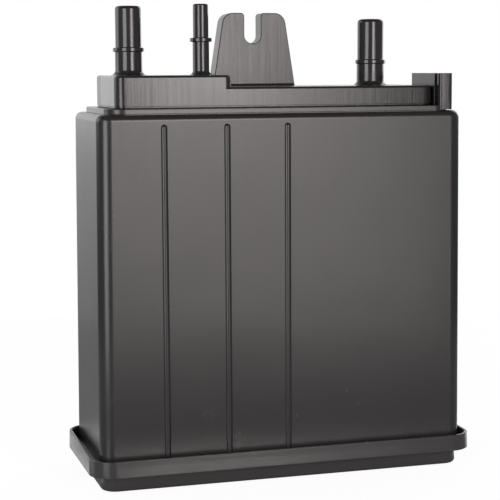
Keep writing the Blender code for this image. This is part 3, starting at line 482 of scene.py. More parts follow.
def foot_outline(sizes):
    """Corners of the housing's outline at its foot."""
    return centred(sizes.width / 2, sizes.depth / 2, sizes.corner)


def quarter(inset, offset, radius, way, steps=6):
    """Points of a rounded edge of a loft, as (inset, offset). From the end of a wall at an inset, it turns
    inwards at an offset; way is +1 where the offsets rise to the edge and -1 where they fall."""
    points = []
    for step in range(steps + 1):
        angle = math.pi / 2 * step / steps
        side, rise = radius * (1 - math.cos(angle)), radius * math.sin(angle)
        points.append((inset + side, offset - way * radius + way * rise))
    return points


def inner_edge(inset, offset, soft):
    """Points of a rim's softened inner edge, as (inset, offset), from its flat end down its inner wall."""
    return [(inset - soft, offset), (inset - soft * 0.3, offset - soft * 0.3), (inset, offset - soft)]


def closed_solid(name, bm, rings):
    """Walls between rings of as many points each, and flat ends."""
    count = len(rings[0])
    for lower, upper in zip(rings, rings[1:]):
        for i in range(count):
            after = (i + 1) % count
            bm.faces.new((lower[i], lower[after], upper[after], upper[i]))
    bm.faces.new(rings[0][::-1])
    bm.faces.new(rings[-1])
    bmesh.ops.recalc_face_normals(bm, faces=bm.faces)
    return mesh_object(name, bm)


def loft(name, corners, profile, place, steps=ARC_STEPS):
    """A closed solid: one ring of points for each (inset, offset) of the profile, and flat ends. A third number
    in the profile is added to the corners' radii."""
    bm = bmesh.new()
    rings = []
    for inset, offset, *wider in profile:
        moved = [(x, y, radius + sum(wider)) for x, y, radius in moved_sides(corners, inset)]
        outline = rounded_outline(moved, steps)
        rings.append([bm.verts.new(place(point.x, point.y, offset)) for point in outline])
    return closed_solid(name, bm, rings)


def upright(x, y, level):
    return (x, y, level)


def drafted(x, y, level):
    """A place on the housing, whose walls lean in as they rise."""
    rise = level - FOOT_LEVEL
    x -= math.copysign(math.tan(DRAFT_SIDES) * rise, x)
    y -= math.copysign(math.tan(DRAFT_FACES) * rise, y)
    return (x, y, level)


def facing(x, level, depth):
    """A place on a sheet that is drawn in X and Z and thickened along Y."""
    return (x, depth, level)


def slab(name, left, right, front, back, bottom, top):
    """A plain upright block with softened corners."""
    corners = rectangle(left, right, front, back, 0.4 * MM)
    return loft(name, corners, [(0.0, bottom), (0.0, top)], upright, 3)


def turned(name, profile, place, steps=TURN_STEPS):
    """A solid of revolution about an upright axis, its profile running from one flat end to the other."""
    bm = bmesh.new()
    verts = [bm.verts.new((place[0] + radius, place[1], level)) for radius, level in profile]
    edges = [bm.edges.new(pair) for pair in zip(verts, verts[1:])]
    centre = (place[0], place[1], 0.0)
    bmesh.ops.spin(
        bm, geom=verts + edges, cent=centre, axis=(0, 0, 1), angle=math.tau, steps=steps, use_merge=True
    )
    bmesh.ops.remove_doubles(bm, verts=bm.verts, dist=1e-7)
    bmesh.ops.holes_fill(bm, edges=[e for e in bm.edges if e.is_boundary], sides=0)
    bmesh.ops.recalc_face_normals(bm, faces=bm.faces)
    return mesh_object(name, bm)


class Growth(Nodes):
    """A geometry tree with a geometry and named inputs, each a name, a socket type and a default, that ends in
    real faces with the finish it is given."""

    def __init__(self, name, *inputs):
        super().__init__(bpy.data.node_groups.new(name, "GeometryNodeTree"))
        geometry = ("Geometry", "NodeSocketGeometry", None)
        for title, kind, default in (geometry, *inputs, ("Finish", "NodeSocketMaterial", None)):
            socket = self.tree.interface.new_socket(title, in_out="INPUT", socket_type=kind)
            if default is not None:
                socket.default_value = default
        self.tree.interface.new_socket("Geometry", in_out="OUTPUT", socket_type="NodeSocketGeometry")
        self.entry = self.tree.nodes.new("NodeGroupInput")

    def given(self, name):
        return Reading(self, self.entry.outputs[name])

    def end(self, instances):
        solid = self.node("GeometryNodeRealizeInstances", None, {"Geometry": instances})
        finish = {"Geometry": solid, "Material": self.given("Finish")}
        coated = self.node("GeometryNodeSetMaterial", None, finish)
        self.feed(self.tree.nodes.new("NodeGroupOutput").inputs[0], coated)
        return self.tree


def copies_tree():
    """One copy of a piece on each point; those from a given number on are turned to face the other way."""
    name = "copies_on_points"
    if name in bpy.data.node_groups:
        return bpy.data.node_groups[name]
    growth = Growth(name, ("Piece", "NodeSocketObject", None), ("Turned From", "NodeSocketInt", 1000))
    piece = growth.node("GeometryNodeObjectInfo", None, {"Object": growth.given("Piece")}, "Geometry")
    settings = {"data_type": "INT", "operation": "GREATER_EQUAL"}
    numbers = {2: growth.node("GeometryNodeInputIndex"), 3: growth.given("Turned From")}
    turn = growth.node("FunctionNodeCompare", settings, numbers) * math.pi
    rotation = growth.node("ShaderNodeCombineXYZ", None, {"Z": turn})
    sockets = {"Points": growth.given("Geometry"), "Instance": piece, "Rotation": rotation}
    return growth.end(growth.node("GeometryNodeInstanceOnPoints", None, sockets))


def pocket_tree():
    """A grid of pockets under the cover, from one pocket, the numbers along X and Y and the grid's size."""
    growth = Growth(
        "pocket_grid",
        ("Along", "NodeSocketInt", POCKETS[0]),
        ("Across", "NodeSocketInt", POCKETS[1]),
        ("Length", "NodeSocketFloat", 0.2),
        ("Depth", "NodeSocketFloat", 0.05),
    )
    inputs = {"Vertices X": "Along", "Vertices Y": "Across", "Size X": "Length", "Size Y": "Depth"}
    grid = {socket: growth.given(name) for socket, name in inputs.items()}
    sockets = {"Points": growth.node("GeometryNodeMeshGrid", None, grid), "Instance": growth.given("Geometry")}
    return growth.end(growth.node("GeometryNodeInstanceOnPoints", None, sockets))


def grown(thing, tree, values):
    """Runs a geometry tree on an object, with its inputs set by name, and keeps the plain result."""
    modifier = thing.modifiers.new(tree.name, "NODES")
    modifier.node_group = tree
    for item in tree.interface.items_tree:
        if item.in_out == "INPUT" and item.name in values:
            modifier[item.identifier] = values[item.name]
    return baked(thing)


def copies(name, piece, places, turned_from=1000):
    """Copies of a piece at each place, as one object. The piece itself is deleted."""
    bm = bmesh.new()
    for place in places:
        bm.verts.new(place)
    made = mesh_object(name, bm)
    grown(made, copies_tree(), {"Piece": piece, "Turned From": turned_from})
    bpy.data.objects.remove(piece)
    return made


def as_piece(thing, material, node):
    """Shades a finished mesh, gives it to the body and hides the CAD node that it stands for."""
    bm = bmesh.new()
    bm.from_mesh(thing.data)
    bmesh.ops.remove_doubles(bm, verts=bm.verts, dist=2e-6)
    bmesh.ops.dissolve_degenerate(bm, edges=bm.edges, dist=1e-6)
    bm.to_mesh(thing.data)
    bm.free()
    thing.data.materials.clear()
    thing.data.materials.append(material)
    thing.data.polygons.foreach_set("material_index", [0] * len(thing.data.polygons))
    thing.data.shade_smooth()
    thing.data.set_sharp_from_angle(angle=SHARP_ANGLE)
    even = thing.modifiers.new("even_shading", "WEIGHTED_NORMAL")
    even.keep_sharp = True
    baked(thing)
    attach(thing, BODY)
    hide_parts(node)
    return thing


def plastic(name, smoother=0.0, lift=0.0, **marks):
    """The canister's black plastic; one moulding may be a little smoother or lighter than another."""
    finish = bpy.context.scene.canister_finish
    colour = tuple(channel + lift for channel in finish.plastic)
    return moulded_plastic(name, colour, finish.roughness - smoother, **marks)


def port_windows():
    """The X ranges of the three windows under the manifold."""
    half = PLINTH_HALF_WIDTH - WALL - SEAT_STRIP
    strip = SEAT_STRIP / 2
    left = max(-half, DOME_LEFT + WALL)
    right = min(half, DOME_RIGHT - WALL)
    return ((left, BAFFLE - strip), (BAFFLE + strip, PARTITION - strip), (PARTITION + strip, right))


class CANISTER_OT_housing(bpy.types.Operator):
    """Builds the housing with its beads, plinth, rail, inner walls and grids"""

    bl_idname = "canister.housing"
    bl_label = "Housing"

    def execute(self, context):
        sizes = context.scene.canister_sizes
        box = foot_outline(sizes)
        crown = sizes.crown
        outer = [
            (-FLANGE_REACH + 0.3 * MM, FOOT_LEVEL),
            (-FLANGE_REACH, FOOT_LEVEL + 0.3 * MM),
            (-FLANGE_REACH, FLANGE_TOP - 0.3 * MM),
            (-FLANGE_REACH + 0.3 * MM, FLANGE_TOP),
            (-0.5 * MM, FLANGE_TOP),
            (-0.15 * MM, FLANGE_TOP + 0.15 * MM),
            (0.0, FLANGE_TOP + 0.5 * MM),
            *quarter(0.0, CROWN_LEVEL, crown, 1, 10),
        ]
        shell = loft("housing_shell", box, outer, drafted)
        combine(shell, [self.plinth(sizes), self.beads(sizes), self.rail()], "UNION")
        hollow = [(WALL, FOOT_LEVEL - SINK), *quarter(WALL, CROWN_LEVEL - WALL, crown - WALL, 1, 4)]
        cutters = [loft("hollow", box, hollow, drafted, 5), self.recess(sizes), *self.windows()]
        combine(shell, cutters, "DIFFERENCE")
        combine(shell, self.inner_walls(sizes), "UNION")
        finish = plastic("housing_plastic", gloss=(PLINTH_TOP + MM, 0.14, RAIL_POST_BACK, 0.0))
        as_piece(shell, finish, "housing")
        return {"FINISHED"}

    def crown_half(self, sizes, inset):
        rise = CROWN_LEVEL - FOOT_LEVEL
        half_width = sizes.width / 2 - math.tan(DRAFT_SIDES) * rise - inset
        half_depth = sizes.depth / 2 - math.tan(DRAFT_FACES) * rise - inset
        return half_width, half_depth

    def plinth_half(self, sizes, inset=0.0):
        half_width, half_depth = self.crown_half(sizes, inset)
        return half_width - PLINTH_END_INSET, half_depth - PLINTH_FACE_INSET

    def plinth(self, sizes):
        wide, deep = self.plinth_half(sizes)
        profile = [
            (-0.45 * MM, CROWN_LEVEL - 2 * SINK),
            (-0.45 * MM, CROWN_LEVEL + 0.06 * MM),
            (-0.13 * MM, CROWN_LEVEL + 0.18 * MM),
            (0.0, CROWN_LEVEL + 0.5 * MM),
            *quarter(0.0, PLINTH_TOP, 0.7 * MM, 1, 4),
        ]
        return loft("plinth", centred(wide, deep, PLINTH_CORNER), profile, upright)

    def recess(self, sizes):
        wide, deep = self.plinth_half(sizes, WALL)
        profile = [(0.0, CROWN_LEVEL - WALL - SINK), (0.0, PLINTH_TOP - WALL)]
        return loft("recess", centred(wide, deep, PLINTH_CORNER - WALL), profile, upright, 5)

    def windows(self):
        reach = DOME_DEPTH / 2 - WALL
        bottom, top = PLINTH_TOP - WALL - SINK, PLINTH_TOP + SINK
        return [
            slab(f"window_{number}", left, right, -reach, reach, bottom, top)
            for number, (left, right) in enumerate(port_windows())
        ]

    def beads(self, sizes):
        """Half-round beads up both large faces: one drawn-out ball, copied to six places."""
        bm = bmesh.new()
        bmesh.ops.create_uvsphere(bm, u_segments=24, v_segments=16, radius=BEAD_RADIUS)
        for vert in bm.verts:
            upper = vert.co.z > -1e-6
            level = vert.co.z + (BEAD_TOP - BEAD_RADIUS if upper else FLANGE_TOP)
            wall = sizes.depth / 2 - math.tan(DRAFT_FACES) * (level - FOOT_LEVEL)
            vert.co = Vector((vert.co.x, vert.co.y - wall + 0.75 * MM, level))
        bead = mesh_object("bead", bm)
        front = [(place, 0.0, 0.0) for place in BEAD_PLACES]
        return copies("beads", bead, front + front, turned_from=len(front))

    def rail(self):
        """Front post, necked groove and long wall, cored from the right between its end flanges and a rib."""
        wall = RAIL_WALL
        neck_left = (RAIL_LEFT + RAIL_RIGHT - wall) / 2
        neck_right = neck_left + wall
        pitch = (RAIL_WALL_BACK - RAIL_WALL_FRONT - wall) / 2
        core = RAIL_LEFT + wall
        crisp, root = 0.25 * MM, 0.4 * MM
        corners = [
            (RAIL_LEFT, RAIL_FRONT, RAIL_EDGE),
            (RAIL_RIGHT, RAIL_FRONT, RAIL_EDGE),
            (RAIL_RIGHT, RAIL_POST_BACK, crisp),
            (neck_right, RAIL_POST_BACK, root),
            (neck_right, RAIL_WALL_FRONT, root),
            (RAIL_RIGHT, RAIL_WALL_FRONT, crisp),
        ]
        for number in range(2):
            start = RAIL_WALL_FRONT + number * pitch + wall
            end = RAIL_WALL_FRONT + (number + 1) * pitch
            corners += [(RAIL_RIGHT, start, crisp), (core, start, root), (core, end, root), (RAIL_RIGHT, end, crisp)]
        corners += [
            (RAIL_RIGHT, RAIL_WALL_BACK, crisp),
            (RAIL_LEFT, RAIL_WALL_BACK, crisp),
            (RAIL_LEFT, RAIL_WALL_FRONT, crisp),
            (neck_left, RAIL_WALL_FRONT, root),
            (neck_left, RAIL_POST_BACK, root),
            (RAIL_LEFT, RAIL_POST_BACK, crisp),
        ]
        profile = [(0.0, RAIL_FOOT), *quarter(0.0, RAIL_TOP, 0.2 * MM, 1, 3)]
        return loft("rail", corners, profile, upright, 5)

    def inner_walls(self, sizes):
        """Partition, short baffle and the bars over the pads."""
        reach = self.crown_half(sizes, WALL)[1] + SINK
        head = self.plinth_half(sizes, WALL)[1] + SINK
        deck, roof = CROWN_LEVEL - WALL, PLINTH_TOP - WALL * 2 / 3
        made = []
        for name, place, foot in (
            ("partition", PARTITION, PARTITION_FOOT),
            ("baffle", BAFFLE, deck - BAFFLE_DEPTH),
        ):
            left, right = place - INNER_WALL / 2, place + INNER_WALL / 2
            made.append(slab(name, left, right, -reach, reach, foot, deck + WALL / 2))
            made.append(slab(name + "_head", left, right, -head, head, deck - SINK, roof))
        bottom, top = deck + GRID_BAR / 4, PLINTH_TOP - WALL / 2
        bar = slab("bar", -GRID_BAR / 2, GRID_BAR / 2, -head, head, bottom, top)
        places = []
        for left, right in port_windows():
            count = max(1, round((right - left) / GRID_PITCH) - 1)
            pitch = (right - left) / (count + 1)
            places += [(left + number * pitch, 0.0, 0.0) for number in range(1, count + 1)]
        made.append(copies("grid_bars", bar, places))
        length = self.plinth_half(sizes, WALL)[0] + SINK
        low, high = bottom + GRID_BAR / 4, top - GRID_BAR / 4
        made.append(slab("grid_along", -length, length, -GRID_BAR / 2, GRID_BAR / 2, low, high))
        return made


class CANISTER_OT_cover(bpy.types.Operator):
    """Builds the bottom cover with its rim, channel and pocketed underside"""

    bl_idname = "canister.cover"
    bl_label = "Bottom cover"

    def execute(self, context):
        sizes = context.scene.canister_sizes
        box = foot_outline(sizes)
        soft = 0.4 * MM
        lip = -RIM_OVERHANG
        inner = lip + RIM_WALL
        well = TRAY_INSET + WALL
        wider = TRAY_CORNER - (sizes.corner - TRAY_INSET)
        tray = [
            *reversed(quarter(TRAY_INSET, 0.0, 2.0 * MM, -1, 6)),
            (TRAY_INSET, RIM_BOTTOM - 0.4 * MM),
            (TRAY_INSET - 0.12 * MM, RIM_BOTTOM - 0.12 * MM),
            (TRAY_INSET - 0.4 * MM, RIM_BOTTOM),
        ]
        profile = [
            *((inset, level, wider) for inset, level in tray),
            *reversed(quarter(lip, RIM_BOTTOM, soft, -1, 3)),
            *quarter(lip + 0.25 * MM, RIM_TOP, soft, 1, 4),
            *inner_edge(inner, RIM_TOP, soft),
            (inner, CHANNEL_FLOOR + 0.5 * MM),
            (inner + 0.15 * MM, CHANNEL_FLOOR + 0.15 * MM),
            (inner + 0.5 * MM, CHANNEL_FLOOR),
            (well - 0.3 * MM, CHANNEL_FLOOR, wider),
            (well, CHANNEL_FLOOR - 0.3 * MM, wider),
            (well, TRAY_FLOOR, wider),
        ]
        cover = loft("cover_shell", box, profile, self.risen)
        combine(cover, [self.pockets(sizes)], "DIFFERENCE")
        combine(cover, [self.bosses(sizes)], "UNION")
        finish = plastic("cover_plastic", 0.09, 0.018, drag=(0.04, 1.0, 1.0), streaks=2.0, bow=0.2)
        as_piece(cover, finish, "bottom_cover")
        return {"FINISHED"}

    def risen(self, x, y, level):
        """A place on the cover, whose rim rises a little towards the back and the left."""
        share = max(0.0, level - CHANNEL_FLOOR - SINK) / (RIM_TOP - CHANNEL_FLOOR - SINK)
        rise = RIM_RISE * (0.5 + y / COVER_DEPTH) * (1.0 - 0.45 * x / (COVER_WIDTH / 2))
        return (x, y, level + share * rise)

    def pockets(self, sizes):
        """The shallow pockets between the stiffeners, as one cutter."""
        inset = TRAY_INSET + FOOT_BAND
        length, depth = sizes.width - 2 * inset, sizes.depth - 2 * inset
        pitch_x, pitch_y = length / POCKETS[0], depth / POCKETS[1]
        half_x, half_y = (pitch_x - STIFFENER) / 2, (pitch_y - STIFFENER) / 2
        profile = [(0.0, -SINK), *quarter(0.2 * MM, POCKET_DEPTH, 0.8 * MM, 1, 3)]
        cutter = loft("pocket", centred(half_x, half_y, 2.0 * MM), profile, upright, 5)
        values = {
            "Along": POCKETS[0],
            "Across": POCKETS[1],
            "Length": length - pitch_x,
            "Depth": depth - pitch_y,
        }
        return grown(cutter, pocket_tree(), values)

    def bosses(self, sizes):
        """The round bosses that locate the springs."""
        half = sizes.width / 2 - WALL
        main, vent = (PARTITION - half) / 2, (PARTITION + half) / 2
        top = TRAY_FLOOR + BOSS_HEIGHT
        profile = [
            (BOSS_RADIUS - BOSS_CHAMFER, top),
            (BOSS_RADIUS, top - BOSS_CHAMFER),
            (BOSS_RADIUS, TRAY_FLOOR - SINK),
        ]
        boss = turned("boss", profile, (0.0, 0.0), TURN_STEPS // 2)
        along, across = MAIN_SPRINGS_ALONG, MAIN_SPRINGS_ACROSS
        places = [(main + x * along, y * across, 0.0) for x in (-1, 1) for y in (-1, 1)]
        places += [(vent + x * VENT_SPRINGS_ALONG, 0.0, 0.0) for x in (-1, 1)]
        return copies("bosses", boss, places)


class CANISTER_OT_manifold(bpy.types.Operator):
    """Builds the stepped manifold with its spigots and notched plate"""

    bl_idname = "canister.manifold"
    bl_label = "Top manifold"

    def execute(self, context):
        half = DOME_DEPTH / 2
        tall = rectangle(DOME_LEFT, DOME_STEP, -half, half, DOME_CORNER, STEP_CORNER)
        low = rectangle(DOME_STEP - 3 * STEP_CORNER, DOME_RIGHT, -half, half, 0.5 * MM, END_CORNER)
        dome = loft("manifold_shell", tall, self.dome_profile(DOME_TALL), upright)
        joined = [loft("low_dome", low, self.dome_profile(DOME_LOW), upright), self.weld_foot()]
        joined += [self.tube(spigot) for spigot in SPIGOTS]
        joined += [self.plate(), self.plate_rib(), self.plate_fillet(), self.plate_heel()]
        combine(dome, joined, "UNION")
        combine(dome, self.plenums() + [self.bore(spigot) for spigot in SPIGOTS], "DIFFERENCE")
        gloss = (DOME_TALL + MM, 0.08, 13.5 * MM, 0.07)
        finish = plastic("manifold_plastic", 0.11, bow=0.22, lean=0.018, streaks=2.5, gloss=gloss)
        as_piece(dome, finish, "top_manifold")
        return {"FINISHED"}

    def dome_profile(self, top):
        """The wall from its lower lip up to the rounded edge of the roof."""
        lip = DOME_FOOT + WELD_HEIGHT
        return [(0.15 * MM, lip), (0.0, lip + 0.2 * MM), *quarter(0.0, top, DOME_EDGE, 1, 6)]

    def weld_foot(self):
        """The narrower foot that the dome stands on."""
        reach = DOME_DEPTH / 2 - WELD_DEPTH
        left, right = DOME_LEFT + WELD_END, DOME_RIGHT - WELD_END
        corners = rectangle(left, right, -reach, reach, DOME_CORNER, END_CORNER)
        profile = [(0.0, DOME_FOOT), (0.0, DOME_FOOT + WELD_HEIGHT + SINK)]
        return loft("weld_foot", corners, profile, upright)

    def roof(self, place):
        return DOME_TALL if place < DOME_STEP else DOME_LOW

    def tube(self, spigot):
        """A solid spigot with a rounded tip, a bead, a slightly thicker stem and a hollow fillet at its foot."""
        foot, tip = self.roof(spigot.place), spigot.tip
        radius, rounding, fillet = spigot.radius, spigot.rounding, spigot.fillet
        stem = radius + STEM_THICKER
        bead, half = tip - spigot.bead_drop, BEAD_THICKNESS / 2
        soft, root = 0.3 * MM, 0.4 * MM
        brim = spigot.bead_radius - soft
        profile = self.arc(radius - rounding, tip - rounding, rounding, 90, 0, 8)
        profile += self.arc(radius + root, bead + half + root, root, 180, 270, 3)
        profile += self.arc(brim, bead + half - soft, soft, 90, 0, 4)
        profile += self.arc(brim, bead - half + soft, soft, 0, -90, 4)
        profile += self.arc(stem + root, bead - half - root, root, 90, 180, 3)
        profile += self.arc(stem + fillet, foot + fillet + 0.04 * MM, fillet, 180, 270, 8)
        profile.append((stem + fillet, foot - WALL / 2))
        return turned(spigot.name + "_spigot", profile, (spigot.place, 0.0))

    def arc(self, x, z, radius, start, end, steps):
        """Points of an arc in a profile, between two angles in degrees."""
        points = []
        for step in range(steps + 1):
            angle = math.radians(start + (end - start) * step / steps)
            points.append((x + radius * math.cos(angle), z + radius * math.sin(angle)))
        return points

    def bore(self, spigot):
        """The passage through a spigot, with a small chamfer at its mouth."""
        bottom = self.roof(spigot.place) - WALL - SINK
        lead, tip, inner = 0.5 * MM, spigot.tip, spigot.bore
        profile = [(inner + lead, tip + SINK), (inner + lead, tip), (inner, tip - lead), (inner, bottom)]
        return turned(spigot.name + "_bore", profile, (spigot.place, 0.0), TURN_STEPS - 4)

    def plate_half(self, level):
        """Half the plate's width at a level."""
        lean = (PLATE_FOOT_WIDTH - PLATE_TOP_WIDTH) / 2 / (PLATE_TOP - DOME_LOW)
        return PLATE_TOP_WIDTH / 2 + lean * (PLATE_TOP - level)

    def plate_corners(self):
        sunk = DOME_LOW - WALL / 2
        foot = self.plate_half(sunk)
        top, notch = PLATE_TOP_WIDTH / 2, NOTCH_WIDTH / 2
        corners = [
            (foot, sunk, 0.3 * MM),
            (top, PLATE_TOP, PLATE_CORNER),
            (NOTCH_ASIDE + notch, PLATE_TOP, NOTCH_MOUTH),
            (NOTCH_ASIDE + notch, NOTCH_BOTTOM, notch * 0.9),
            (NOTCH_ASIDE - notch, NOTCH_BOTTOM, notch * 0.9),
            (NOTCH_ASIDE - notch, PLATE_TOP, NOTCH_MOUTH),
            (-top, PLATE_TOP, PLATE_CORNER),
            (-foot, sunk, 0.3 * MM),
        ]
        return [(PLATE_MIDDLE + x, z, radius) for x, z, radius in corners]

    def plate(self):
        """The notched plate in one sweep: front face, rounded edges, rim and the pocket cored from the back."""
        soft, web = 0.5 * MM, PLATE_FRONT + PLATE_WEB
        profile = [
            *reversed(quarter(0.0, PLATE_FRONT, PLATE_EDGE, -1, 5)),
            *quarter(0.0, PLATE_BACK, PLATE_EDGE * 0.6, 1, 4),
            *inner_edge(PLATE_RIM, PLATE_BACK, soft),
            (PLATE_RIM + 0.1 * MM, web + soft),
            (PLATE_RIM + 0.25 * MM, web + soft * 0.3),
            (PLATE_RIM + 0.6 * MM, web),
        ]
        return loft("plate", self.plate_corners(), profile, facing)

    def plate_rib(self):
        left, right = PLATE_MIDDLE - INNER_WALL / 2, PLATE_MIDDLE + INNER_WALL / 2
        front, back = PLATE_FRONT + PLATE_WEB / 2, PLATE_BACK - SINK
        bottom, top = DOME_LOW - WALL / 3, NOTCH_BOTTOM - PLATE_RIM / 2
        return slab("plate_rib", left, right, front, back, bottom, top)

    def plate_fillet(self):
        """The hollow fillet along the front of the plate's foot, from the step to the plate's right edge."""
        radius = 1.7 * MM
        inside = PLATE_FRONT + SINK * 1.5
        section = [(inside, DOME_LOW - SINK), (inside, DOME_LOW + radius + PLATE_EDGE)]
        section += self.arc(PLATE_FRONT - radius, DOME_LOW + 0.04 * MM + radius, radius, 0, -90, 6)
        section.append((PLATE_FRONT - radius, DOME_LOW - SINK))
        left, right = DOME_STEP - WALL / 2, PLATE_MIDDLE + PLATE_FOOT_WIDTH / 2 - PLATE_EDGE
        bm = bmesh.new()
        ends = [[bm.verts.new((x, y, level)) for y, level in section] for x in (left, right)]
        return closed_solid("plate_fillet", bm, ends)

    def plate_heel(self):
        """The wedge between the step of the manifold and the left foot of the plate."""
        behind = DOME_STEP - DOME_EDGE * 0.75
        low = DOME_LOW - WALL / 3
        corners = [
            (behind, low, 0.1 * MM),
            (PLATE_MIDDLE - self.plate_half(DOME_LOW) + PLATE_RIM * 0.75, low, 0.1 * MM),
            (PLATE_MIDDLE - self.plate_half(DOME_TALL + SINK) + PLATE_RIM / 4, DOME_TALL + SINK, 0.3 * MM),
            (behind, DOME_TALL - DOME_EDGE * 0.6, 0.3 * MM),
        ]
        profile = [(0.0, PLATE_FRONT + PLATE_EDGE), (0.0, PLATE_BACK - PLATE_EDGE)]
        return loft("plate_heel", corners, profile, facing, 4)

    def plenums(self):
        """The rooms under the roof, parted by two inner walls."""
        half_wall = INNER_WALL / 2
        inner = DOME_DEPTH / 2 - WALL
        foot = DOME_FOOT - SINK
        tall, low = DOME_TALL - WALL, DOME_LOW - WALL
        rooms = (
            (DOME_LEFT + WALL, BAFFLE - half_wall, inner, foot, tall),
            (BAFFLE + half_wall, DOME_STEP - WALL, inner, foot, tall),
            (DOME_STEP - 2 * WALL, PARTITION - half_wall, inner - 0.3 * MM, foot - 0.3 * MM, low),
            (PARTITION + half_wall, DOME_RIGHT - WALL, inner, foot - 0.3 * MM, low),
        )
        return [
            slab(f"plenum_{number}", left, right, -reach, reach, bottom, top)
            for number, (left, right, reach, bottom, top) in enumerate(rooms)
        ]


class CANISTER_OT_filling(bpy.types.Operator):
    """Gives the carbon, pads, plates and springs their finishes"""

    bl_idname = "canister.filling"
    bl_label = "Filling"

    def execute(self, context):
        finishes = {
            "carbon": carbon_pellets("carbon_pellets"),
            "fleece": needled_fleece("needled_fleece"),
            "plate": moulded_plastic("plate_plastic", (0.045, 0.045, 0.048), 0.5, dust=0.0),
            "spring": drawn_wire("drawn_wire"),
        }
        for finish, nodes in FILLING.items():
            for node in nodes:
                self.coat(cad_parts[node], finishes[finish])
        return {"FINISHED"}

    def coat(self, thing, material):
        if not thing.material_slots:
            raise RuntimeError(f"{thing.name} has no material slot")
        for place in thing.material_slots:
            place.link = "OBJECT"
            place.material = material


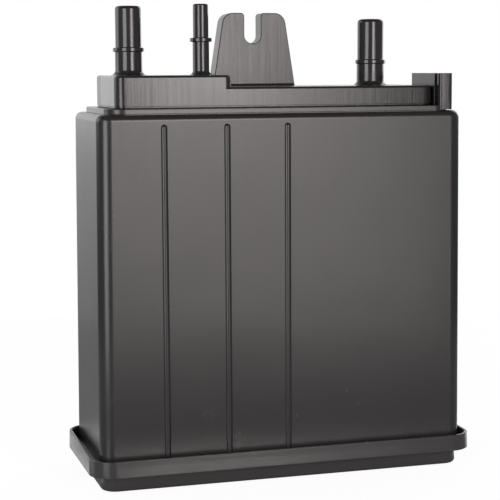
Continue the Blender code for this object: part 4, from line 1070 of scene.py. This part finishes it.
class CANISTER_OT_stage(bpy.types.Operator):
    """Sets the camera, the pale floor, the softboxes and the surroundings"""

    bl_idname = "canister.stage"
    bl_label = "Stage"

    def execute(self, context):
        settings = context.scene.canister_stage
        self.camera(context, settings.lens)
        self.floor()
        self.softboxes(context, settings)
        self.surroundings(context)
        context.scene.view_settings.view_transform = "Standard"
        return {"FINISHED"}

    def camera(self, context, lens):
        yaw, pitch, roll = (math.radians(angle) for angle in CAMERA_TURN)
        ahead = Vector((math.sin(yaw), math.cos(yaw), 0.0))
        right = Vector((math.cos(yaw), -math.sin(yaw), 0.0))
        down = Vector((0.0, 0.0, -1.0))
        forward = math.cos(pitch) * ahead + math.sin(pitch) * down
        lower = math.cos(pitch) * down - math.sin(pitch) * ahead
        across = math.cos(roll) * right + math.sin(roll) * lower
        lower = math.cos(roll) * lower - math.sin(roll) * right
        data = bpy.data.cameras.new("camera")
        data.lens = lens
        data.sensor_width = 36.0
        data.clip_start, data.clip_end = 0.05, 50.0
        camera = bpy.data.objects.new("camera", data)
        turn = Matrix((across, -lower, -forward)).transposed()
        camera.matrix_world = Matrix.Translation(CAMERA_PLACE) @ turn.to_4x4()
        context.scene.collection.objects.link(camera)
        context.scene.camera = camera

    def floor(self):
        """A white table under the canister, small enough for the softboxes to reach below its edge."""
        bm = bmesh.new()
        bmesh.ops.create_circle(bm, cap_ends=True, segments=96, radius=FLOOR_RADIUS)
        bmesh.ops.translate(bm, verts=bm.verts, vec=(0.0, 0.0, -0.0002))
        floor = mesh_object("floor", bm)
        floor.data.materials.append(self.floor_finish())

    def floor_finish(self):
        """White as the camera sees it. In reflections it also has a sheen in a ring close round the canister, and at
        each end
            a glowing strip, a painted reflection that lights the canister's ends."""
        recipe = new_recipe("pale_floor")
        recipe.tree.nodes.remove(recipe.tree.nodes["Principled BSDF"])
        tone = recipe.blend(recipe.noise(30.0, 3.0), (0.78, 0.78, 0.78), (0.82, 0.82, 0.82))
        matt = recipe.node("ShaderNodeBsdfDiffuse", None, {"Color": tone}, "BSDF")
        sheen = recipe.node("ShaderNodeBsdfGlossy", None, {"Color": WHITE, "Roughness": 0.12}, "BSDF")
        white = recipe.node("ShaderNodeEmission", None, {"Color": WHITE, "Strength": 1.1})
        across, inwards = recipe.axis("X"), recipe.axis("Y")
        end, face = COVER_WIDTH / 2, 49.0 * MM
        aside = across.at_least(across * -1.0) - end
        away = aside.at_least(inwards.at_least(inwards * -1.0) - face)
        near = recipe.ramp(away, 0.03, 0.05) * (1.0 - recipe.ramp(away, 0.075, 0.095))
        glow_strip = recipe.ramp(aside, 0.003, 0.006) * (1.0 - recipe.ramp(aside, 0.013, 0.016))
        along = recipe.ramp(inwards, -0.04, -0.02) * (1.0 - recipe.ramp(inwards, 0.12, 0.15))
        mirrored = recipe.light_path("Is Glossy Ray")
        base = recipe.node("ShaderNodeMixShader", None, {0: mirrored * near * 0.35, 1: matt, 2: sheen})
        # Painted reflection: at each end a strip of the floor glows white, but only in reflections.
        seen = recipe.light_path("Is Camera Ray") * 0.86 + mirrored * glow_strip * along * 0.9
        mixed = recipe.node("ShaderNodeMixShader", None, {0: seen, 1: base, 2: white})
        return recipe.finish(node="Material Output", Surface=mixed)

    def softboxes(self, context, settings):
        """A broad box and a brighter one at the right of the camera, a tall one at its left and two behind. Each is
        a name, a turn from the front, a distance, a height, a size and a power."""
        boxes = (
            ("right_softbox", 13.5, 1.6, 0.30, (0.80, 0.95), settings.key),
            ("right_middle", 10.5, 1.55, 0.53, (0.40, 0.60), settings.key * 0.52),
            ("left_softbox", -48.5, 1.6, 0.30, (0.80, 0.95), settings.fill),
            ("back_left_softbox", -118.0, 1.7, 0.8, (0.7, 1.2), 4.0),
            ("back_right_softbox", 125.0, 1.7, 0.8, (0.9, 1.2), 7.0),
        )
        for name, azimuth, distance, height, size, power in boxes:
            turn = math.radians(azimuth)
            lamp = bpy.data.lights.new(name, "AREA")
            lamp.shape = "RECTANGLE"
            lamp.size, lamp.size_y = size
            lamp.energy = power
            lamp.color = WARM_WHITE if name.startswith("right") else WHITE
            thing = bpy.data.objects.new(name, lamp)
            thing.location = (math.sin(turn) * distance, -math.cos(turn) * distance, height)
            target = Vector((0.0, 0.0, height if abs(azimuth) < 90.0 else 0.16))
            thing.rotation_euler = (target - thing.location).to_track_quat("-Z", "Y").to_euler()
            thing.visible_camera = False
            context.scene.collection.objects.link(thing)

    def surroundings(self, context):
        """White as the camera sees it. As light it is a pale backdrop behind the canister, which fades to the sides
        and overhead. Below the horizon it is a narrower panel, brightest close under the horizon."""
        context.scene.world = bpy.data.worlds.new("surroundings")
        recipe = Recipe(context.scene.world, "Generated")
        behind = {0: recipe.places, 1: (-0.174, 0.985, 0.0)}
        side = recipe.node("ShaderNodeVectorMath", {"operation": "DOT_PRODUCT"}, behind, "Value")
        height = recipe.axis("Z")
        backdrop = recipe.ramp(side, 0.3, 0.85, 0.0, 1.3) * recipe.ramp(height, -0.004, 0.010)
        panel = recipe.ramp(side, 0.92, 0.975, 0.15, 0.70) * recipe.ramp(height, -0.18, -0.03, 0.60, 1.0)
        brighter = recipe.ramp(height, -0.05, -0.02, 1.0, 1.95)
        room = (panel * brighter).at_least(backdrop) * recipe.ramp(height, 0.1, 0.7, 1.0, 0.3)
        seen = recipe.light_path("Is Camera Ray")
        recipe.finish(node="Background", Color=WHITE, Strength=seen + (1.0 - seen) * room)


class CANISTER_PT_panel(bpy.types.Panel):
    """Lists the canister's sizes, finishes and pieces"""

    bl_idname = "CANISTER_PT_panel"
    bl_label = "Canister"
    bl_space_type = "VIEW_3D"
    bl_region_type = "UI"
    bl_category = "Canister"

    def draw(self, context):
        layout = self.layout
        for group in (getattr(context.scene, name) for name in GROUPS):
            box = layout.box()
            for name in group.bl_rna.properties.keys():
                if name not in ("rna_type", "name"):
                    box.prop(group, name)
        for operator in OPERATORS:
            layout.operator(operator.bl_idname)


OPERATORS = (
    CANISTER_OT_stage,
    CANISTER_OT_housing,
    CANISTER_OT_cover,
    CANISTER_OT_manifold,
    CANISTER_OT_filling,
)
GROUPS = {"canister_sizes": CanisterSizes, "canister_finish": CanisterFinish, "canister_stage": CanisterStage}
CLASSES = (*GROUPS.values(), *OPERATORS, CANISTER_PT_panel)


def register():
    for item in CLASSES:
        bpy.utils.register_class(item)
    for name, group in GROUPS.items():
        setattr(bpy.types.Scene, name, bpy.props.PointerProperty(type=group))


def unregister():
    for name in GROUPS:
        delattr(bpy.types.Scene, name)
    for item in reversed(CLASSES):
        bpy.utils.unregister_class(item)


def main():
    register()
    bpy.ops.canister.stage()
    bpy.ops.canister.housing()
    bpy.ops.canister.cover()
    bpy.ops.canister.manifold()
    bpy.ops.canister.filling()
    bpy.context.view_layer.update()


if __name__ == "__main__":
    main()
